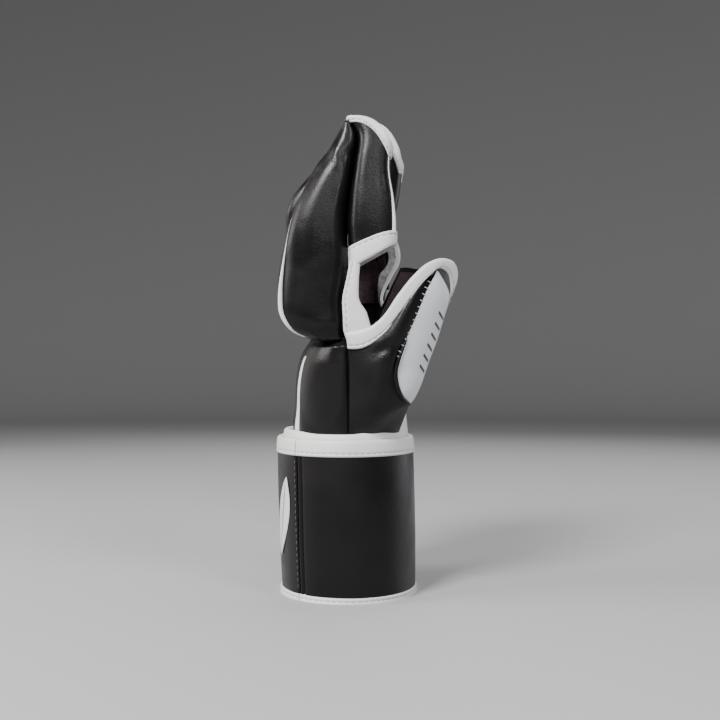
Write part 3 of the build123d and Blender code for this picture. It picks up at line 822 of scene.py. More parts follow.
@dataclass
class Cuff:
    """The wrist cuff: a knitted wrap, a padded strap whose free end folds over the back, and their bindings.

    Attributes:
        half_x: half the strap's thickness across the wrist, at its top.
        half_y: half its width.
        hinge: the ellipse angle in degrees where the flap begins, on the back near the thumb.
        free: the ellipse angle of the flap's free end.
        height: the strap's height with its bindings.
    """

    half_x: float = 34.4
    half_y: float = 43.4
    hinge: float = 226.5
    free: float = 120.0
    height: float = 82.0

    def at(self, angle: Array, z: Array, out: Array | float = 0.0) -> Array:
        """Points round the cuff: an ellipse that leans to the palm and narrows a little towards the bottom.

        Args:
            angle: ellipse angles in degrees, 0 on the palm side.
            z: heights.
            out: distance outside the strap's face.

        Returns:
            The points.
        """
        t, drop = np.radians(angle), 1 - np.asarray(z, float) / 80
        x = -0.8 + 1.8 * drop + (self.half_x - 0.7 * drop + out) * np.cos(t)
        return np.stack(np.broadcast_arrays(x, (self.half_y + out) * np.sin(t), z), -1)

    def band(self, name: str, angles: tuple[float, float], low: float, high: float, out: float, thick: float,
             soft: float = 0.25, rows: int = 40) -> bpy.types.Object:
        """One layer of the cuff between two angles: bulged between its bindings, pinched along the fold, faintly uneven.

        Args:
            name: the piece's name.
            angles: first and last ellipse angle; a full turn closes the band.
            low: its lower edge.
            high: its upper edge.
            out: how far outside the strap's face it lies.
            thick: its thickness.
            soft: the size of its unevenness.
            rows: points up its height.

        Returns:
            The layer.
        """
        ring = angles[1] - angles[0] > 359
        angle = np.linspace(*angles, int((angles[1] - angles[0]) * 1.1) + 8, endpoint=not ring)[None, :]
        z = np.linspace(low, high, rows)[:, None]
        share = (z - low) / (high - low)
        fold = (((angle - self.hinge + 180) % 360) - 180) * 0.72
        pinch = 0.5 * hump(fold, 0.2, 0.9) + 1.1 * hump(fold, 3.4, 0.9)
        swell = soft * 2.2 * np.sin(math.pi * share) ** 0.6 - (0 if ring or soft == 0 else 1) * pinch
        grid = self.at(angle, z, out + swell)
        grid = grid + normals(grid, (0, 0, 40), ring) * ripple(grid * [1, 1, 0.6], 3, soft, 26.0)[..., None]
        return sheet(name, grid, (0, 0, 40), thick, ring)

    def edge(self, name: str, angles: tuple[float, float], sewn: Any, folded: Any, out: float, depth: float,
             lean: float = 0.0) -> Binding:
        """A binding round the cuff between two angles, whose edges' heights are numbers or functions of the angle."""
        ring = angles[1] - angles[0] > 359
        angle = np.linspace(*angles, int((angles[1] - angles[0]) * 0.9) + 8, endpoint=not ring)
        first = sewn(angle) if callable(sewn) else np.full_like(angle, sewn)
        second = folded(angle) if callable(folded) else np.full_like(angle, folded)
        return Binding(name, self.at(angle, first, out), self.at(angle, second, out + lean), (0, 0, first.mean()),
                       rise=0.85, depth=depth, ring=ring)

    def wrap(self) -> list[bpy.types.Object]:
        """Builds the inner wrap, its white top edge that rises on the palm side, and the loop tape."""
        inner = self.band("inner_wrap", (0, 360), 1.0, 82.0, -4.6, 3.0, 0.3)
        dress(inner, Finish.KNIT, "hand", ["cuff_wrap"])
        top = self.edge("wrap_edge", (0, 360), 78.0, lambda a: 83.4 + 10.0 * np.clip(np.cos(np.radians(a)), 0, 1) ** 2.3
                        + 1.2 * step(-np.cos(np.radians(a)), 0.4, 0.9), -3.2, 3.4, -1.2)
        rim = dress(top.strip(), Finish.WHITE, "hand", ["cuff_wrap_binding"])
        loops = self.band("loop_panel", (126, 220.5), 8, 70, -3.9, 0.6, 0.0)
        dress(loops, Finish.LOOPS, "hand", ["loop_tape"])
        return [inner, rim, loops]

    def fixed(self) -> list[bpy.types.Object]:
        """Builds the part of the strap that is sewn to the wrap, its padding, bindings and stitches."""
        angles = (self.hinge + 0.8, self.free + 358.0)
        padding = dress(self.band("strap_pad", angles, 3, 78, -2.2, 1.6, 0.0), Finish.KNIT, "hand", ["strap_padding"])
        skin = dress(self.band("strap_leather", angles, 2.5, 76, 0, 1.9), Finish.BLACK, "hand", ["cuff_strap"])
        low = self.edge("strap_foot_edge", angles, 6.0, 0.25, 0.1, 2.6)
        top = self.edge("strap_top_edge", angles, 72.8, 80.8, 0.15, 2.6, -0.9)
        return [padding, skin] + bound(low, "hand", ["strap_bottom_binding"]) + bound(top, "hand", ["strap_top_binding"])

    def flap(self) -> list[bpy.types.Object]:
        """Builds the free end that opens, with its hook tape, bindings, stitches and two-part badge."""
        angles = (self.free, self.hinge - 0.3)
        skin = dress(self.band("flap_leather", angles, 2.5, 76, 0, 1.9), Finish.BLACK, "flap", ["strap_flap"])
        low = self.edge("flap_foot_edge", angles, 6.0, 0.75, 0.1, 2.2)
        top = self.edge("flap_top_edge", angles, 72.8, 80.8, 0.15, 2.2, -0.9)
        hooks = dress(self.band("hook_panel", (126, 220.5), 8, 70, -2.3, 0.7, 0.0), Finish.HOOKS, "flap", ["flap_hook_tape"])
        made = [skin, hooks] + bound(low, "flap", ["flap_bottom_binding"]) + bound(top, "flap", ["flap_top_binding"])
        made += [self.seam("flap_fold_stitches", self.hinge - 1.6, "flap"),
                 self.seam("flap_end_stitches", self.free + 3.0, "flap")]
        return made + self.badge()

    def seam(self, name: str, angle: float, body: str) -> bpy.types.Object:
        """An upright row of stitches on the strap's face, at one angle."""
        z = np.linspace(8, 71, 60)
        line = self.at(np.full_like(z, angle), z, 0.58 * np.sin(math.pi * (z - 2.5) / 73.5) ** 0.6 + 0.05)
        out = np.broadcast_to(unit(line.mean(0) * [1, 1, 0]), line.shape)
        return dress(stitch_row(name, line, out, 3.0), Finish.DARK_THREAD, body)

    def badge(self) -> list[bpy.types.Object]:
        """Builds the plain lens on the flap as two slim leaves either side of a slit, pressed into the leather."""
        made = []
        for number, (inner, outer) in enumerate(((0.09, 1.0), (-0.13, -1.0))):
            u = np.linspace(-1, 1, 50)[:, None]
            v = np.linspace(inner, outer, 14)[None, :]
            belly = 6.4 * (1 - u**2)
            y = -19.0 - 5.0 * u + belly * v
            z = 42.0 + 20.0 * u + 0 * v
            angle = 180 + np.degrees(np.arcsin(-y / self.half_y))
            edge = np.minimum(1 - u**2, (1 - np.abs(v)) * 3)
            grid = self.at(angle, z, 0.75 + 0.35 * np.clip(edge * 4, 0, 1) ** 0.5)
            leaf = sheet(f"badge_leaf_{number + 1}", grid, (0, 0, 40), 0.9)
            made.append(dress(leaf, Finish.LEAF, "flap", ["flap_badge"]))
        return made

    def make(self) -> list[bpy.types.Object]:
        """Builds the whole cuff."""
        return self.wrap() + self.fixed() + self.flap()


# ---- pads ----------------------------------------------------------------------------------


@dataclass
class BackPads:
    """The padded back of the hand: four finger lobes that share one knuckle pad, and the lower pad below the fold.

    Attributes:
        back: (x, z) of the upper pad's back in side view.
        inner: (x, z) of its palm side, where it meets the sleeves.
        half_width: half the pad's width over its lobes.
        pitch: the lobes' spacing.
        lower_back: (x, z) of the lower pad's back.
    """

    back: Sequence[tuple[float, float]] = (
        (-13.0, 128.6), (-20.4, 130.2), (-27.6, 133.8), (-32.4, 140.8), (-33.3, 150.0), (-31.2, 168.0), (-26.4, 189.6),
        (-19.0, 204.2), (-11.2, 217.3), (-5.8, 226.0), (-1.8, 233.5), (-0.6, 237.0))
    inner: Sequence[tuple[float, float]] = (
        (0.3, 127.0), (-0.9, 138.0), (-1.3, 148.0), (0.2, 158.0), (1.2, 168.0), (0.2, 178.0), (-0.2, 184.0),
        (1.0, 197.0), (3.8, 215.0), (5.4, 224.5), (4.9, 228.5), (2.4, 233.0), (0.6, 237.0))
    half_width: float = 48.0
    pitch: float = 24.0
    lower_back: Sequence[tuple[float, float]] = (
        (-26.6, 76.0), (-26.6, 82.9), (-26.6, 94.3), (-26.4, 109.2), (-23.8, 121.7), (-18.8, 128.5), (-12.0, 130.4))

    def lobe(self, number: int) -> Array:
        """Closed sections of one lobe from the fold to the fingertip.

        Each section is a rounded box, k(t) * (half_x cos t, half_y sin t) with k = (|cos|^n + |sin|^n)^(-1/n). The power n is
        high, so nearly square, towards a neighbouring lobe low down, falls towards the tip, and is low on the free outer side.

        Args:
            number: 0 for the index finger to 3 for the little finger.

        Returns:
            Sections by corners of points.
        """
        share = np.linspace(0, 1, 104)
        z = (129.2 + 104.0 * (share - 0.11 * np.sin(TAU * share) / 1.4))[:, None]
        side = {0: -1, 3: 1}.get(number, 0)
        near, far = self.pitch * (number - 2) + 0.12, self.pitch * (number - 1) - 0.12
        foot = 1 - step(z, 129, 141)
        outer = self.half_width - 4.6 * foot**2 - 8.5 * (np.clip(z - 170, 0, None) / 64) ** 2
        if side:
            near, far = (-outer, far) if side < 0 else (near, outer)
        rise = 4.6 * np.exp(-(((z - 199) / 13) ** 2)) * (0 if side else 1)
        back, inner = lookup(self.back, z) - rise, lookup(self.inner, z)
        middle_x, half_x = (back + inner) / 2, (inner - back) / 2
        middle_y, half_y = (near + far) / 2, (far - near) / 2 + 0 * z
        t = (np.arange(112) * TAU / 112)[None, :]
        c, s = np.cos(t), np.sin(t)
        towards_back = step(-c, -0.35, 0.35)
        towards_out = step(s * side, -0.3, 0.3) if side else 0 * s
        seam = 9.0 - 5.6 * step(z, 168, 222)
        power = ((1 - towards_out) * (towards_back * seam + (1 - towards_back) * 7)
                 + towards_out * (towards_back * 2.35 + (1 - towards_back) * 3.0))
        k = rounded(c, s, power)
        gather = 0.014 * np.exp(-np.clip(z - 130, 0, None) / 5.0) * np.cos(13 * t + number)
        dent = 0.035 * hump(z, 216.5, 3.2) * hump(c, 0.75, 0.35) * (1 if side else 0.3)
        k = k * (1 + gather - dent)
        x, y = middle_x + half_x * k * c, middle_y + half_y * k * s
        sections = np.stack([x, y, z + 0 * t], -1)
        out = np.stack([c + 0 * z, s + 0 * z, 0 * k], -1)
        sections = sections + out * (ripple(sections, 5 + number, 0.55, 34.0) * towards_back)[..., None]
        crown = sections.mean(1, keepdims=True)
        foot_cap = crown[:1] + (sections[:1] - crown[:1]) * np.array([0.5, 0.85])[:, None, None] - [0, 0, 0.8]
        head_cap = crown[-1:] + (sections[-1:] - crown[-1:]) * np.array([0.85, 0.5])[:, None, None] + [0, 0, 0.8]
        return np.concatenate([foot_cap, sections, head_cap])

    def lobes(self, fingers: Sequence[str]) -> list[bpy.types.Object]:
        """Builds the four lobes, each fixed in place without a bend."""
        made = []
        for number, finger in enumerate(fingers):
            sections = self.lobe(number)
            obj = loft(f"{finger}_pad", sections, crease=75)
            z, t = sections[..., 2], np.arange(sections.shape[1]) * TAU / sections.shape[1]
            free = (np.cos(t)[None] < 0.5) & (z > 134) & (z < 222)
            held = np.concatenate([np.where(free, 0.0, 1.0).ravel(), [1, 1]])
            inflate(obj, held, 0.9)
            nodes = [f"{finger}_pad_cover", f"{finger}_pad_foam"]
            nodes += ["knuckle_pad_cover", "knuckle_pad_foam"] if number == 0 else []
            middle = self.pitch * (number - 1.5)
            bend = (finger, (0, middle, 158), (0, middle, 180))
            made.append(dress(obj, Finish.BLACK, "knuckle", nodes, bend))
            if number in (0, 3):
                cord = self.piping(finger, sections, 212 if number == 0 else 148)
                made.append(dress(cord, Finish.WHITE, "knuckle", bend=bend))
        return made

    def piping(self, finger: str, sections: Array, angle: float) -> bpy.types.Object:
        """A round white cord up a lobe's outer back corner, along one angle of its sections, fading out below the fingertip."""
        line = curve(sections[4:58, int(round(angle / 360 * sections.shape[1]))], 80)
        radius = 1.1 * np.sqrt(np.clip(np.linspace(0.2, 1, 80) * 6, 0, 1)) * (1 - step(np.linspace(0, 1, 80), 0.3, 0.95)) + 0.05
        return welt(f"{finger}_pad_piping", line, radius)

    def lower(self) -> list[bpy.types.Object]:
        """Builds the lower pad: a half rounded box round the back of the hand, thick in its middle, gathered at the fold."""
        share = np.linspace(0, 1, 70)[:, None]
        z = 72 + 57.6 * np.sin(share * math.pi / 2) ** 1.15
        t = np.radians(np.linspace(90, 270, 150))[None, :]
        half_x = 1.6 - lookup(self.lower_back, z)
        half_y = np.interp(z, [70, 86, 100, 118, 126, 129.5], [36.5, 38.2, 41.8, 45.0, 44.8, 41.0])
        c, s = np.cos(t), np.sin(t)
        power = 2.35
        k = rounded(c, s, power)
        tuck = 0.6 * np.cos(17 * t + 1.0) + 0.4 * np.cos(29 * t)
        k = k * (1 + 0.012 * np.exp(-np.clip(129 - z, 0, None) / 4.5) * tuck)
        k = k - 0.035 * hump(np.degrees(t), 90, 4) - 0.035 * hump(np.degrees(t), 270, 4)
        grid = np.stack([1.6 + half_x * k * c, half_y * k * s, z + 0 * t], -1)
        grid = grid + normals(grid, (0, 0, 100)) * ripple(grid, 21, 0.6, 38.0)[..., None]
        thick = (2.0 + 8.5 * np.clip(-c, 0, 1) ** 0.7) * (0.35 + 0.65 * np.sin(math.pi * np.clip(share, 0.06, 0.94)))
        obj = sheet("lower_pad", grid, (2, 0, 100), thick)
        edge = np.maximum(np.abs(2 * share - 1) ** 8 + 0 * t, np.abs(np.degrees(t) - 180 + 0 * share) / 90 > 0.93)
        outer = np.concatenate([edge, np.ones_like(edge)]).T.ravel()
        inflate(obj, np.round(outer * 4) / 4, 1.0)
        dress(obj, Finish.STRIPED, "hand", ["lower_pad_cover", "lower_pad_foam"])
        return [obj, self.gutter()]

    def gutter(self) -> bpy.types.Object:
        """Builds the hidden leather in the fold between the pads, a folded half ring."""
        t = np.radians(np.linspace(92, 268, 90))[None, :]
        z = np.linspace(121, 137, 24)[:, None]
        inset = 3.2 * hump(z, 129.4, 3.0)
        grid = np.stack([1.0 + (14.5 - inset) * np.cos(t), (41.5 - inset) * np.sin(t), z + 0 * t], -1)
        obj = sheet("fold_leather", grid, (2, 0, 129), 1.2)
        return dress(obj, Finish.BLACK, "hand", bend=("knuckle", (0, 0, 126), (0, 0, 132)))

    def make(self, fingers: Sequence[str]) -> list[bpy.types.Object]:
        """Builds every pad of the back."""
        return self.lobes(fingers) + self.lower()


# ---- fingers -------------------------------------------------------------------------------


@dataclass
class Sleeves:
    """Four open leather sleeves on the palm side of the lobes, each bound at both ends.

    Attributes:
        palm: (x, z) of the sleeves' palm side in side view.
        inner: (x, z) of the groove between pad and sleeve.
        pitch: the sleeves' spacing.
    """

    palm: Sequence[tuple[float, float]] = (
        (23.2, 160.0), (23.6, 174.0), (23.7, 184.7), (22.8, 197.5), (21.2, 208.5), (21.2, 217.0), (22.9, 226.0), (23.0, 240.0))
    inner: Sequence[tuple[float, float]] = (
        (1.6, 158.0), (1.7, 168.0), (0.9, 178.0), (0.4, 184.0), (1.6, 197.0), (4.2, 215.0), (5.2, 226.0),
        (2.0, 233.0), (-0.6, 237.0))
    pitch: float = 24.0

    def reach(self, number: int) -> float:
        """How much further to the palm a sleeve stands than the outer two."""
        return 6.6 if number in (1, 2) else 0.0

    def tip(self, number: int, x: Array) -> Array:
        """Height of a sleeve's upper rim against x: high at the pad, falling faster towards the palm."""
        top, drop, far, power = (235.8, 15.2, 22.6, 3.5) if number in (0, 3) else (237.0, 20.0, 28.0, 4.6)
        return top - drop * (np.clip(x, 0, None) / far) ** power

    def foot(self, number: int, x: Array) -> Array:
        """Height of a sleeve's lower rim against x: a straight slant that rises to the palm, higher away from the thumb."""
        return 162.6 + 2.4 * number + 0.55 * np.clip(x - 2.0, -2, None)

    def tube(self, number: int, shares: Array, inset: float = 0.0, corners: int = 112, trim: float = 0.0) -> Array:
        """Rings of points up a sleeve, each a rounded box between its two rims.

        Args:
            number: 0 for the index finger to 3 for the little finger.
            shares: for each ring, 0 at the lower rim to 1 at the upper.
            inset: how far inside the leather's face.
            corners: points round a ring.
            trim: how far inside the upper rim share 1 lies, measured across the rim.

        Returns:
            Rings by corners of points.
        """
        far = 22.6 if number in (0, 3) else 28.0
        t = (np.arange(corners) * TAU / corners)[None, :]
        v = np.asarray(shares, float)[:, None]
        c, s = np.cos(t), np.sin(t)
        power = 3.3
        k = rounded(c, s, power)
        x = 12 + 11 * k * c
        for _ in range(4):
            top = self.tip(number, np.minimum(x + trim, 1.03 * far) if trim else x) - 0.85 * trim
            z = self.foot(number, x) + v * (top - self.foot(number, x))
            shift = self.reach(number) * step(z, 184, 214)
            low, high = lookup(self.inner, z) + 0.35 * shift + inset, lookup(self.palm, z) + shift - inset
            x = (low + high) / 2 + (high - low) / 2 * k * c
        outer = {0: -1, 3: 1}.get(number, 0)
        taper = 2.9 * (np.clip(z - 172, 0, None) / 64) ** 2 * abs(outer)
        half = self.pitch / 2 - 0.7 - 0.5 * step(z, 200, 236) - inset
        y = self.pitch * (number - 1.5) + (0.35 - taper) * outer + (half + 0.25 * abs(outer) - taper) * k * s
        rings = np.stack([x, y, z + 0 * t], -1)
        return rings + np.stack([c + 0 * z, s + 0 * z, 0 * z + 0 * c], -1) * ripple(rings, 31 + number, 0.35, 24.0)[..., None]

    def finger(self, number: int, finger: str) -> list[bpy.types.Object]:
        """Builds one sleeve with its lining, bindings, stitches and the white piping along its palm edge."""
        middle = (12.0, self.pitch * (number - 1.5), 200.0)
        skin = sheet(f"{finger}_sleeve_leather", self.tube(number, np.linspace(0.04, 1.0, 70), trim=1.4), middle, 1.3, True)
        lining = sheet(f"{finger}_sleeve_lining", self.tube(number, np.linspace(0.03, 1.0, 40), 1.6, trim=1.2),
                middle, 0.5, True)
        made = [dress(skin, Finish.BLACK, finger, [f"{finger}_sleeve"]), dress(lining, Finish.LINING, finger)]
        for end, node in (("tip", "tip_binding"), ("foot", "sleeve_binding")):
            folded = 1.0 if end == "tip" else 0.0
            sewn = self.tube(number, [1.0], corners=150, trim=3.3) if folded else self.tube(number, [0.145], corners=150)
            rings = np.concatenate([sewn, self.tube(number, [folded], corners=150)])
            edge = Binding(f"{finger}_{end}_edge", rings[0], rings[1], (12, middle[1], rings[0, :, 2].mean()), 0.75, 2.1, True)
            made += bound(edge, finger, [f"{finger}_{node}"])
        return made + ([self.piping(number, finger)] if number in (0, 3) else [])

    def piping(self, number: int, finger: str) -> bpy.types.Object:
        """Builds the white piping down a sleeve's outer palm corner, a round cord that widens towards the foot."""
        rings = self.tube(number, np.linspace(0.12, 0.93, 70))
        angle = np.radians(-37 if number == 0 else 37)
        column = int(round((angle % TAU) / TAU * rings.shape[1])) % rings.shape[1]
        line = rings[:, column] + np.array([0.1, -0.1, 0])
        radius = 0.26 + 0.8 * step(np.linspace(1, 0, 70), 0.3, 0.98)
        return dress(welt(f"{finger}_piping", line, radius), Finish.WHITE, finger)

    def make(self, fingers: Sequence[str]) -> list[bpy.types.Object]:
        """Builds all four sleeves."""
        return [piece for number, finger in enumerate(fingers) for piece in self.finger(number, finger)]


# ---- thumb side ----------------------------------------------------------------------------


@dataclass
class ThumbSide:
    """The thumb-side leather, the scoop over the thumb with its leaf-shaped pad, and the white edge of the web opening.

    Attributes:
        seam: the seam against the lower pad, from the cuff to the fold.
        foot: the edge inside the cuff, from the seam to the palm.
        leaf_edge: the leaf's near edge, from its lower point to its tip.
        leaf_back: the leaf's outermost line, along the back of the thumb.
        leaf_far: the leaf's far edge.
        sewn: the sewn edge of the web's white binding, from the fold to the leaf's far side.
        folded: its folded edge, point for point.
    """

    seam: Sequence = ((1.4, -35.6, 76), (1.4, -38.0, 87), (1.5, -41.8, 101), (1.6, -44.6, 114), (0.8, -45.4, 126))
    foot: Sequence = ((1.4, -35.6, 76), (11, -33.2, 76), (17.5, -27.5, 76), (21.6, -22.0, 76.3), (23.6, -18, 76.5))
    leaf_edge: Sequence = (
        (30.4, -36.5, 98.2), (26.4, -42.3, 102.2), (24.2, -44.3, 107.5), (23.5, -45.0, 113.5), (24.9, -45.2, 119.5),
        (28.6, -45.1, 129.3), (33.3, -44.8, 139.8), (38.8, -43.8, 152.9), (43.2, -41.2, 161.6))
    leaf_back: Sequence = (
        (31.4, -33.0, 98.6), (33.6, -31.5, 102.6), (35.9, -31.2, 108.4), (37.5, -31.0, 113.5), (39.4, -31.0, 119.5),
        (43.0, -31.0, 129.3), (46.4, -31.2, 140.2), (48.9, -33.2, 150.2), (43.9, -40.6, 161.4))
    leaf_far: Sequence = (
        (30.6, -29.0, 98.2), (28.0, -22.5, 102.2), (26.5, -19.5, 107.5), (26.0, -18.5, 113.5), (27.0, -18.3, 119.5),
        (30.6, -18.4, 129.3), (35.0, -19.0, 139.8), (40.2, -23.0, 150.9), (44.4, -37.5, 160.8))
    sewn: Sequence = (
        (0.8, -46.0, 124.4), (5.0, -46.4, 124.3), (9.8, -46.6, 125.6), (17.4, -46.6, 130.9), (25.1, -46.4, 139.6),
        (33.0, -45.6, 151.8), (39.0, -44.0, 158.9), (44.0, -41.0, 162.9), (48.2, -37.4, 161.4), (50.0, -34.4, 157.0),
        (49.8, -32.6, 151.5), (48.2, -31.2, 145.6))
    folded: Sequence = (
        (0.2, -46.4, 132.2), (5.6, -47.0, 132.8), (11.8, -47.3, 135.0), (17.5, -47.3, 139.7), (24.6, -47.1, 149.9),
        (31.4, -46.2, 158.4), (38.2, -44.4, 164.6), (45.6, -40.4, 167.6), (51.6, -35.4, 166.2), (53.7, -32.0, 161.5),
        (52.7, -30.4, 154.6), (49.0, -30.4, 146.0))

    BEND = ("thumb", (11.0, -40.0, 107.0), (25.0, -40.0, 121.0))

    def leather(self) -> list[bpy.types.Object]:
        """Builds the leather between the pad's seam, the cuff, the leaf and the web, and its cloth inside."""
        left, low = curve(self.seam, 80), curve(self.foot, 80)
        edge = curve(self.leaf_edge, 60)
        side = curve([self.foot[-1], (25.6, -21.5, 83), (28.2, -28, 91), tuple(edge[0])], 20)
        right = curve(np.concatenate([side[:-1:3], edge[::4]]), 80)
        top = curve(np.array(self.sewn[:8]) * 0.62 + np.array(self.folded[:8]) * 0.38 + [0, 0.7, 0], 60)
        top = curve(np.concatenate([left[-1:], top[4::5]]), 80)
        right = right + (top[-1] - right[-1]) * np.linspace(0, 1, 80)[:, None] ** 12
        grid = patch(left, right, low, top)
        u, v = np.linspace(0, 1, 80)[:, None], np.linspace(0, 1, 80)[None, :]
        swell = 1.5 * step(u, 0.05, 0.35) * np.sin(math.pi * u) ** 0.8 * np.sin(math.pi * v) ** 0.8
        fold = -0.7 * hump(u + 0.35 * v, 0.95, 0.05) * step(v, 0.1, 0.5)
        fold = fold - 0.5 * hump(u - 0.25 * v, 0.30, 0.06) * step(v, 0.3, 0.7)
        grid = grid + normals(grid, (12, 0, 110)) * (swell + fold + ripple(grid, 51, 0.5, 30.0))[..., None]
        skin = sheet("thumb_side_leather", grid, (12, 0, 110), 1.3)
        dress(skin, Finish.BLACK, "hand", ["radial_panel", "thumb_shell"], self.BEND)
        inner = grid - normals(grid, (12, 0, 110)) * 1.5
        cloth = sheet("thumb_side_lining", inner[3:-2, 2:-2], (12, 0, 110), 0.6)
        dress(cloth, Finish.LINING, "hand", ["thumb_lining"], self.BEND)
        return [skin, cloth]

    def leaf_grid(self, lift: float = 0.0, spread: float = 1.0) -> Array:
        """Points of the leaf: at each station a rounded arch through its near edge, its back and its far edge, puffed outward."""
        near, back, far = curve(self.leaf_edge, 90), curve(self.leaf_back, 90), curve(self.leaf_far, 90)
        s = np.linspace(0.5 - spread / 2, 0.5 + spread / 2, 44)[None, :, None]
        corner = 2 * back - (near + far) / 2
        near, far, corner = near[:, None], far[:, None], corner[:, None]
        grid = (1 - s) ** 2 * near + 2 * s * (1 - s) * corner + s**2 * far
        u = np.linspace(0, 1, 90)[:, None]
        plump = (np.sin(math.pi * np.clip(s[..., 0], 0, 1)) ** 0.55) * np.sin(math.pi * np.clip(u, 0, 1)) ** 0.5
        return grid + normals(grid, (20, -31, 125)) * (lift + 1.1 * plump)[..., None]

    def leaf(self) -> list[bpy.types.Object]:
        """Builds the leaf pad, its black rim, its overcast stitches and the mesh cloth at the thumb's tip."""
        grid = self.leaf_grid()
        u = np.linspace(0, 1, 90)[:, None]
        v = np.linspace(0, 1, 44)[None, :]
        thick = 1.2 + 3.4 * np.sin(math.pi * u) ** 0.6 * np.sin(math.pi * v) ** 0.6
        pad = sheet("thumb_leaf_pad", grid, (20, -31, 125), thick)
        dress(pad, Finish.LEAF, "thumb", ["thumb_pad_cover", "thumb_pad_foam"])
        rim = curve(self.leaf_edge[:6], 90)
        out = unit(np.array([-0.55, -1.0, -0.25]) + 0 * rim)
        angle = np.arange(10) * TAU / 10
        wheel = np.stack([np.cos(angle), 0.8 * np.sin(angle), np.sin(angle)], -1)
        size = 0.35 + 0.85 * np.sin(math.pi * np.linspace(0.06, 0.97, 90)) ** 0.5
        cord = loft("thumb_leaf_rim", (rim + out * 0.35)[:, None] + wheel[None] * size[:, None, None])
        made = [pad, dress(cord, Finish.BLACK, "thumb")]
        near = curve(self.leaf_edge, 90)[34:82] + np.array([-0.75, -0.75, 0.2])
        made.append(dress(self.overcast("thumb_leaf_stitches", near, (-0.85, 0.1, 0.45)), Finish.THREAD, "thumb"))
        made += self.tip()
        return made

    def overcast(self, name: str, line: Array, lean: Sequence[float]) -> bpy.types.Object:
        """Stitches that cross an edge at a slant, each a short capsule laid along the lean direction at its own place."""
        count = 13
        picks = np.linspace(0, len(line) - 1, count).astype(int)
        way = unit(np.array(lean, float))
        paths = [line[i] + way[None] * np.linspace(-1.0, 1.0, 5)[:, None] for i in picks]
        parts = [stitch_row(f"{name}_{i}", path, np.broadcast_to([0.2, -1.0, 0.0], path.shape), 1.45, length=0.95, radius=0.25)
                 for i, path in enumerate(paths)]
        return join(name, parts)

    def tip(self) -> list[bpy.types.Object]:
        """Builds the mesh cloth between the leaf's back and the binding round the thumb's tip."""
        sewn = curve(self.sewn[6:], 40) + [0, 0.5, 0]
        inset = np.array([[-3, 0, 1.0], [-1.5, -1, 0], [-1.0, -1, 0]])
        leaf = curve(np.concatenate([[(42.0, -41.0, 160.0)], np.array(self.leaf_back)[-3:][::-1] + inset]), 40)
        s = np.linspace(-0.12, 1.0, 16)[None, :, None]
        grid = sewn[:, None] * (1 - s) + leaf[:, None] * s
        grid = grid + np.array([0.3, -0.6, 0.1]) * (4 * s * (1 - s)).clip(0)
        return [dress(sheet("thumb_tip_mesh", grid, (36, -20, 150), 0.8), Finish.MESH, "thumb")]

    def far_wall(self) -> list[bpy.types.Object]:
        """Builds the scoop's far wall, between the leaf's far edge and the palm opening, and its cloth."""
        right = curve(self.leaf_far, 70)
        left = curve([(23.4, -17.0, 79.0), (22.6, -16.5, 94), (20.0, -17.0, 108), (16.2, -17.5, 122),
                (13.6, -18, 135), (19.4, -18, 150), (26.6, -18.5, 164.6)], 70)
        low = curve([tuple(left[0]), (26.6, -24.0, 88.0), tuple(right[0])], 50)
        top = curve([tuple(left[-1]), (30.0, -19, 164.9), (36.3, -20, 164.0), tuple(right[-1])], 50)
        grid = patch(left, right, low, top)
        grid = grid + normals(grid, (25, -40, 130)) * (ripple(grid, 61, 0.6, 26.0))[..., None]
        skin = dress(sheet("thumb_far_leather", grid, (25, -40, 130), 1.2), Finish.BLACK, "hand", bend=self.BEND)
        inner = (grid - normals(grid, (25, -40, 130)) * 1.35)[2:-2, 2:-2]
        cloth = dress(sheet("thumb_far_lining", inner, (25, -40, 130), 0.6), Finish.LINING, "hand", bend=self.BEND)
        back = curve(self.leaf_edge, 70), curve(self.leaf_far, 70), curve(self.leaf_back, 70)
        s = np.linspace(0.04, 0.96, 30)[None, :, None]
        corner = 2 * back[2] - (back[0] + back[1]) / 2
        arch = (1 - s) ** 2 * back[0][:, None] + 2 * s * (1 - s) * corner[:, None] + s**2 * back[1][:, None]
        arch = arch - normals(arch, (20, -31, 125)) * 4.2
        liner = dress(sheet("thumb_back_lining", arch[4:-4], (20, -31, 125), 0.6), Finish.LINING, "thumb")
        return [skin, cloth, liner]

    def web(self) -> list[bpy.types.Object]:
        """Builds the V of white binding: the strip that rises to the index sleeve, and the edge that runs round the thumb."""
        sewn = curve([(0.6, -44.6, 127.5), (-1.2, -45.6, 133), (-1.5, -46.2, 139), (-1.8, -46.4, 148),
                (0.1, -46.4, 157.5), (1.7, -46.2, 166)], 120)
        free = curve([(12.2, -44.8, 132.2), (11.2, -45.8, 136), (9.6, -46.4, 141.6), (6.2, -46.7, 147.4),
                (5.9, -46.7, 157), (6.6, -46.4, 166)], 120)
        lean = ("index", (0, -36, 150), (0, -36, 171))
        strip = Binding("web_strip", sewn, free, (10, 0, 150), 0.9, 1.9)
        edge = Binding("thumb_edge", curve(self.sewn, 260), curve(self.folded, 260), (22, 0, 130), 1.0, 2.2, taper=0.14)
        turn = ("thumb", (5, -46, 122), (20, -46, 137))
        return bound(strip, "knuckle", ["web_edge_binding"], lean) + bound(edge, "hand",
                ["web_binding", "thumb_rim_binding"], turn)

    def make(self) -> list[bpy.types.Object]:
        """Builds everything on the thumb side."""
        return self.leather() + self.leaf() + self.far_wall() + self.web()


def join(name: str, parts: Sequence[bpy.types.Object]) -> bpy.types.Object:
    """Joins mesh objects into the first, which takes the name."""
    with bpy.context.temp_override(active_object=parts[0], selected_objects=list(parts), selected_editable_objects=list(parts)):
        bpy.ops.object.join()
    parts[0].name = parts[0].data.name = name
    return parts[0]


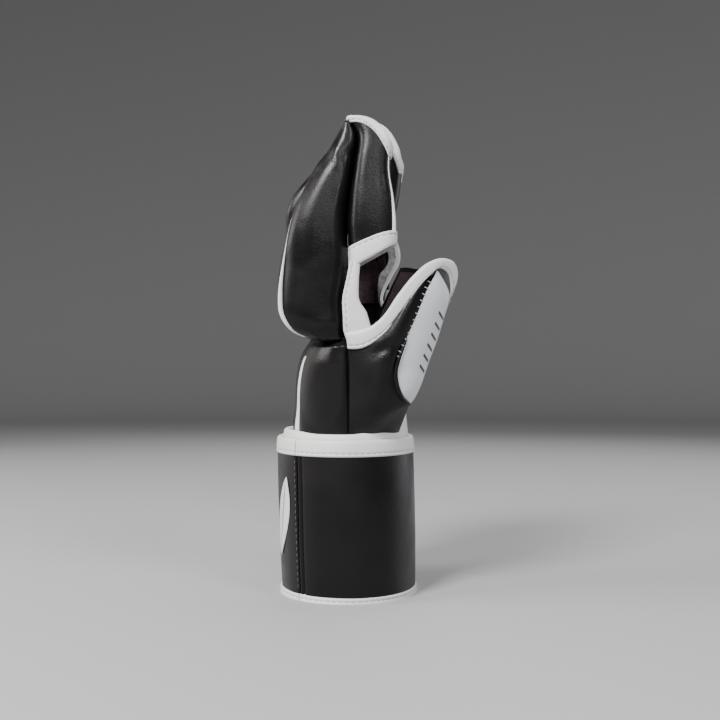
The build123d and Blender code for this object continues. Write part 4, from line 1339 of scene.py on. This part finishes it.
# ---- palm side -----------------------------------------------------------------------------


@dataclass
class PalmSide:
    """The open palm: the heel leather, the little-finger side panel with its white edge, and the cloth against the hand."""

    def heel(self) -> list[bpy.types.Object]:
        """Builds the leather at the heel of the palm and the white binding across its top."""
        angle = np.radians(np.linspace(-28, 48, 70))[None, :]
        z = np.linspace(76, 109.5, 40)[:, None]
        grow = step(z, 80, 110)
        dip = -5.0 * grow**2 * hump(np.degrees(angle), 0, 30)
        grid = np.stack([(27.2 + 1.2 * grow + dip) * np.cos(angle), (36.2 + 5.0 * grow) * np.sin(angle),
                z + 4.0 * hump(np.degrees(angle), 48, 22) * grow], -1)
        grid = grid + normals(grid, (0, 0, 95)) * ripple(grid, 71, 0.5, 30.0)[..., None]
        skin = dress(sheet("palm_heel_leather", grid, (0, 0, 95), 1.4), Finish.BLACK, "hand", ["palm_heel"])
        edge = Binding("palm_heel_edge", curve(grid[-9, 2:-2], 110), curve(grid[-1, 2:-2], 110), (0, 0, 100), 0.75, 2.2)
        cloth = sheet("palm_heel_lining", (grid - normals(grid, (0, 0, 95)) * 1.5)[:, 1:-1], (0, 0, 95), 0.6)
        return [skin, dress(cloth, Finish.LINING, "hand")] + bound(edge, "hand")

    def little_side(self) -> list[bpy.types.Object]:
        """Builds the panel down the little-finger side, its white palm edge and its cloth."""
        left = curve([(1.4, 36.4, 76), (1.4, 38.2, 87), (1.5, 41.8, 101), (1.6, 44.8, 114), (0.6, 45.8, 128),
                (-1.0, 46.2, 146), (1.0, 46.0, 161)], 90)
        right = curve([(20.5, 27.5, 76), (21.8, 27.2, 87), (23.4, 27.6, 101), (24.2, 28.5, 114), (22.6, 29.0, 128),
                (20.4, 27.5, 143), (22.2, 28.0, 156.4)], 90)
        low = curve([tuple(left[0]), (12, 34.2, 76), tuple(right[0])], 60)
        top = curve([tuple(left[-1]), (9, 46.6, 160.6), (17.5, 43.6, 158.6), (21.6, 37.0, 157.0), tuple(right[-1])], 60)
        grid = patch(left, right, low, top)
        u, v = np.linspace(0, 1, 90)[:, None], np.linspace(0, 1, 60)[None, :]
        bulge = np.sin(math.pi * v) ** 0.7 * (2.2 + 2.0 * u)
        grid = grid + normals(grid, (5, 0, 120)) * (bulge + ripple(grid, 81, 0.5, 30.0))[..., None]
        bend = ("knuckle", (0, 0, 122), (0, 0, 136))
        skin = dress(sheet("little_side_leather", grid, (5, 0, 120), 1.4), Finish.BLACK, "hand", ["ulnar_panel"], bend)
        cloth = sheet("little_side_lining", (grid - normals(grid, (5, 0, 120)) * 1.5)[1:-1, 1:-1], (5, 0, 120), 0.6)
        edge = Binding("palm_side_edge", curve(grid[30:, -8], 160), curve(grid[30:, -1], 160), (5, 10, 130), 0.8, 2.2)
        top_edge = Binding("little_side_edge", curve(grid[-8, 1:], 110), curve(grid[-1, 1:], 110), (5, 0, 150), 0.8, 2.2)
        made = [skin, dress(cloth, Finish.LINING, "hand", bend=bend)]
        made += bound(edge, "hand", ["palm_edge_binding"], bend) + bound(top_edge, "knuckle", ["ulnar_knuckle_panel"])
        return made + self.loop()

    def loop(self) -> list[bpy.types.Object]:
        """Builds the leather that closes the side up to the little finger's sleeve, and the fleece-lined edge by the palm."""
        rise = np.linspace(0, 1, 40)[:, None]
        turn = np.radians(np.linspace(178, -25, 50))[None, :]
        k = rounded(np.cos(turn), np.sin(turn), 3.2)
        top = 171.0 + 8.0 * step(k * np.cos(turn), -0.6, 1.0)
        z = 150 + (top - 150) * rise
        grid = np.stack([11.6 + 10.4 * k * np.cos(turn) + 0 * z,
                34.0 + (10.0 + 0.9 * hump(rise, 0.3, 0.35)) * k * np.sin(turn), z], -1)
        grid = grid + normals(grid, (11, 30, 165)) * ripple(grid, 85, 0.5, 18.0)[..., None]
        bend = ("little", (0, 36, 154), (0, 36, 172))
        side = dress(sheet("little_side_gusset", grid, (11, 30, 165), 1.3), Finish.BLACK, "knuckle", bend=bend)
        cloth = sheet("little_gusset_lining", (grid - normals(grid, (11, 30, 165)) * 1.5)[:, 1:-1], (11, 30, 165), 0.6)
        sewn = curve([(20.0, 29.8, 147.0), (16.9, 26.6, 151.5), (16.5, 27.6, 157), (17.6, 28.6, 164.5),
                (21.3, 28.0, 169.5), (22.3, 27.4, 174.3), (20.8, 26.8, 178)], 90) + [0, 0.9, 0]
        free = curve([(20.4, 28.6, 146.2), (17.8, 24.9, 150.3), (18.9, 24.4, 155.5), (23.0, 24.2, 163.5),
                (27.0, 23.8, 171.0), (27.2, 23.4, 176.5), (24.6, 23.0, 185.2)], 90) + [0, 0.9, 0]
        edge = Binding("palm_loop", sewn, free, (5, 60, 160), 0.9, 1.3)
        across = np.linspace(0.0, 0.8, 12)[None, :, None]
        inner = sewn[:, None] * (1 - across) + free[:, None] * across + np.array([-0.5, -1.4, 0])
        fleece = sheet("palm_loop_fleece", inner + ripple(inner, 86, 0.3, 7.0)[..., None], (20, 60, 160), 0.8)
        bend_loop = ("little", (0, 36, 153), (0, 36, 171))
        fell = curve([(16.3, 42.6, 138), (16.4, 42.9, 152), (16.0, 42.6, 166), (15.6, 41.5, 178)], 60)
        seam = welt("little_lining_seam", fell, 0.55, 8)
        return [side, dress(seam, Finish.DARK_THREAD, "knuckle", bend=bend),
                # The gusset's cloth takes the lighter copy of the lining, painted light that stands in for the light
                # that does not reach inside.
                dress(cloth, Finish.SIDE_LINING, "knuckle", bend=bend),
                dress(edge.strip(), Finish.WHITE, "knuckle", bend=bend_loop),
                dress(fleece, Finish.FLEECE, "knuckle", bend=bend_loop)]

    def cloth(self) -> list[bpy.types.Object]:
        """Builds the cloth against the back of the hand, in the hand part and behind the knuckles."""
        y = np.linspace(-1, 1, 60)[None, :]
        z = np.linspace(70, 124.5, 40)[:, None]
        wide = np.interp(z, [70, 86, 110, 128], [31.0, 32.0, 36.0, 37.0])
        grid = np.stack([-13.5 + 13.8 * np.abs(y) ** 3.2 + 0 * z, wide * y, z + 0 * y], -1)
        grid = grid + np.array([1.0, 0, 0]) * ripple(grid, 91, 0.8, 26.0)[..., None]
        low = dress(sheet("back_lining_cloth", grid, (-60, 0, 100), 0.8), Finish.LINING, "hand", ["back_lining"])
        z = np.linspace(127, 160.5, 30)[:, None]
        grid = np.stack([-7.5 + 6.6 * np.abs(y) ** 4 + 4.0 * step(z, 150, 166), 39.0 * y + 0 * z, z + 0 * y], -1)
        grid = grid + np.array([1.0, 0, 0]) * ripple(grid, 92, 0.8, 26.0)[..., None]
        high = dress(sheet("knuckle_lining_cloth", grid, (-60, 0, 150), 0.8), Finish.LINING, "knuckle", ["knuckle_lining"])
        return [low, high]

    def make(self) -> list[bpy.types.Object]:
        """Builds everything on the palm side."""
        return self.heel() + self.little_side() + self.cloth()


# ---- studio --------------------------------------------------------------------------------


@dataclass
class Studio:
    """A pale floor, soft lights and a camera that looks level from the thumb side.

    Attributes:
        distance: from the camera to the glove's middle plane, in millimetres.
        aim: the camera's x and z.
        lens: its focal length on a 36 mm sensor.
    """

    distance: float = 620.0
    aim: tuple[float, float] = (6.6, 119.2)
    lens: float = 60.75

    def lamp(self, name: str, place: Sequence[float], size: tuple[float, float], power: float,
            colour: Sequence[float] = (1, 1, 1)) -> None:
        """Adds a soft area light that faces the glove's middle."""
        data = bpy.data.lights.new(name, "AREA")
        data.shape, data.size, data.size_y, data.energy, data.color = "RECTANGLE", size[0], size[1], power, colour
        lamp = bpy.data.objects.new(name, data)
        bpy.context.scene.collection.objects.link(lamp)
        spot = np.array(place) * MM
        lamp.location = spot.tolist()
        way = np.array([0, 0, 0.13]) - spot
        lamp.rotation_euler = (math.atan2(math.hypot(way[0], way[1]), -way[2]), 0, math.atan2(way[1], way[0]) - math.pi / 2)

    def make(self) -> None:
        """Builds the floor, the world, the lights and the camera."""
        scene = bpy.context.scene
        turn = np.linspace(0, TAU, 97)[None, :-1]
        rise = np.linspace(0, 1, 60)[:, None]
        bend = np.clip((rise - 0.45) / 0.55, 0, 1) * math.pi / 2
        reach = 3200 * np.clip(rise / 0.45, 0, 1) * 0.55 + 1400 * np.sin(bend)
        bowl = np.stack([reach * np.cos(turn), reach * np.sin(turn), 2600 * (1 - np.cos(bend)) - 0.1 + 0 * turn], -1)
        floor = sheet("floor", bowl, (0, 0, 900), 5.0, True)
        g = Graph("floor")
        floor.data.materials.append(g.finish(Base_Color=grey(0.34, 0.34, 0.34), Roughness=0.75))
        world = bpy.data.worlds.new("studio")
        scene.world = world
        world.use_nodes = True
        world.node_tree.nodes["Background"].inputs[0].default_value = grey(0.30, 0.30, 0.31)
        world.node_tree.nodes["Background"].inputs[1].default_value = 0.2
        self.lamp("key", (-520, -860, 1000), (0.4, 0.4), 32)
        self.lamp("fill", (700, -800, 1000), (0.45, 0.45), 9, (0.95, 0.96, 1))
        self.lamp("front", (150, -1000, 600), (0.2, 0.34), 2.4)
        self.lamp("side", (-865, -110, 530), (0.55, 0.45), 9, (1, 0.97, 0.94))
        self.lamp("left", (-780, 520, 320), (0.8, 0.8), 2.2, (1, 0.95, 0.92))
        self.lamp("right", (820, 420, 360), (0.6, 0.8), 3, (0.92, 0.94, 1))
        self.lamp("back", (200, 900, 700), (0.8, 0.6), 4)
        camera = bpy.data.objects.new("camera", bpy.data.cameras.new("camera"))
        scene.collection.objects.link(camera)
        camera.data.lens = self.lens
        camera.data.sensor_width = 36.0
        camera.location = (self.aim[0] * MM, -self.distance * MM, self.aim[1] * MM)
        camera.rotation_euler = (math.pi / 2, 0, 0)
        scene.camera = camera


def main() -> None:
    """Builds the glove's looks piece by piece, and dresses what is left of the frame."""
    logging.basicConfig(level=logging.INFO, format="%(message)s")
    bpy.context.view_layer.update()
    fingers = ("index", "middle", "ring", "little")
    made: list[bpy.types.Object] = []
    for label, pieces in (("cuff", Cuff().make()), ("back pads", BackPads().make(fingers)),
            ("sleeves", Sleeves().make(fingers)),
                          ("thumb side", ThumbSide().make()), ("palm side", PalmSide().make())):
        LOG.info("%s: %s", label, ", ".join(piece.name for piece in pieces))
        made += pieces
    by_slot = {SLOTS[finish]: finish for finish in reversed(Finish)}
    for name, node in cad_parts.items():
        if not node.hide_render:
            LOG.info("frame node %s stays", name)
            node.data.materials.clear()
            node.data.materials.append(by_slot["dark_lining" if "lining" in name else "black_leather"].paint())
    Studio().make()


if __name__ == "__main__":
    main()
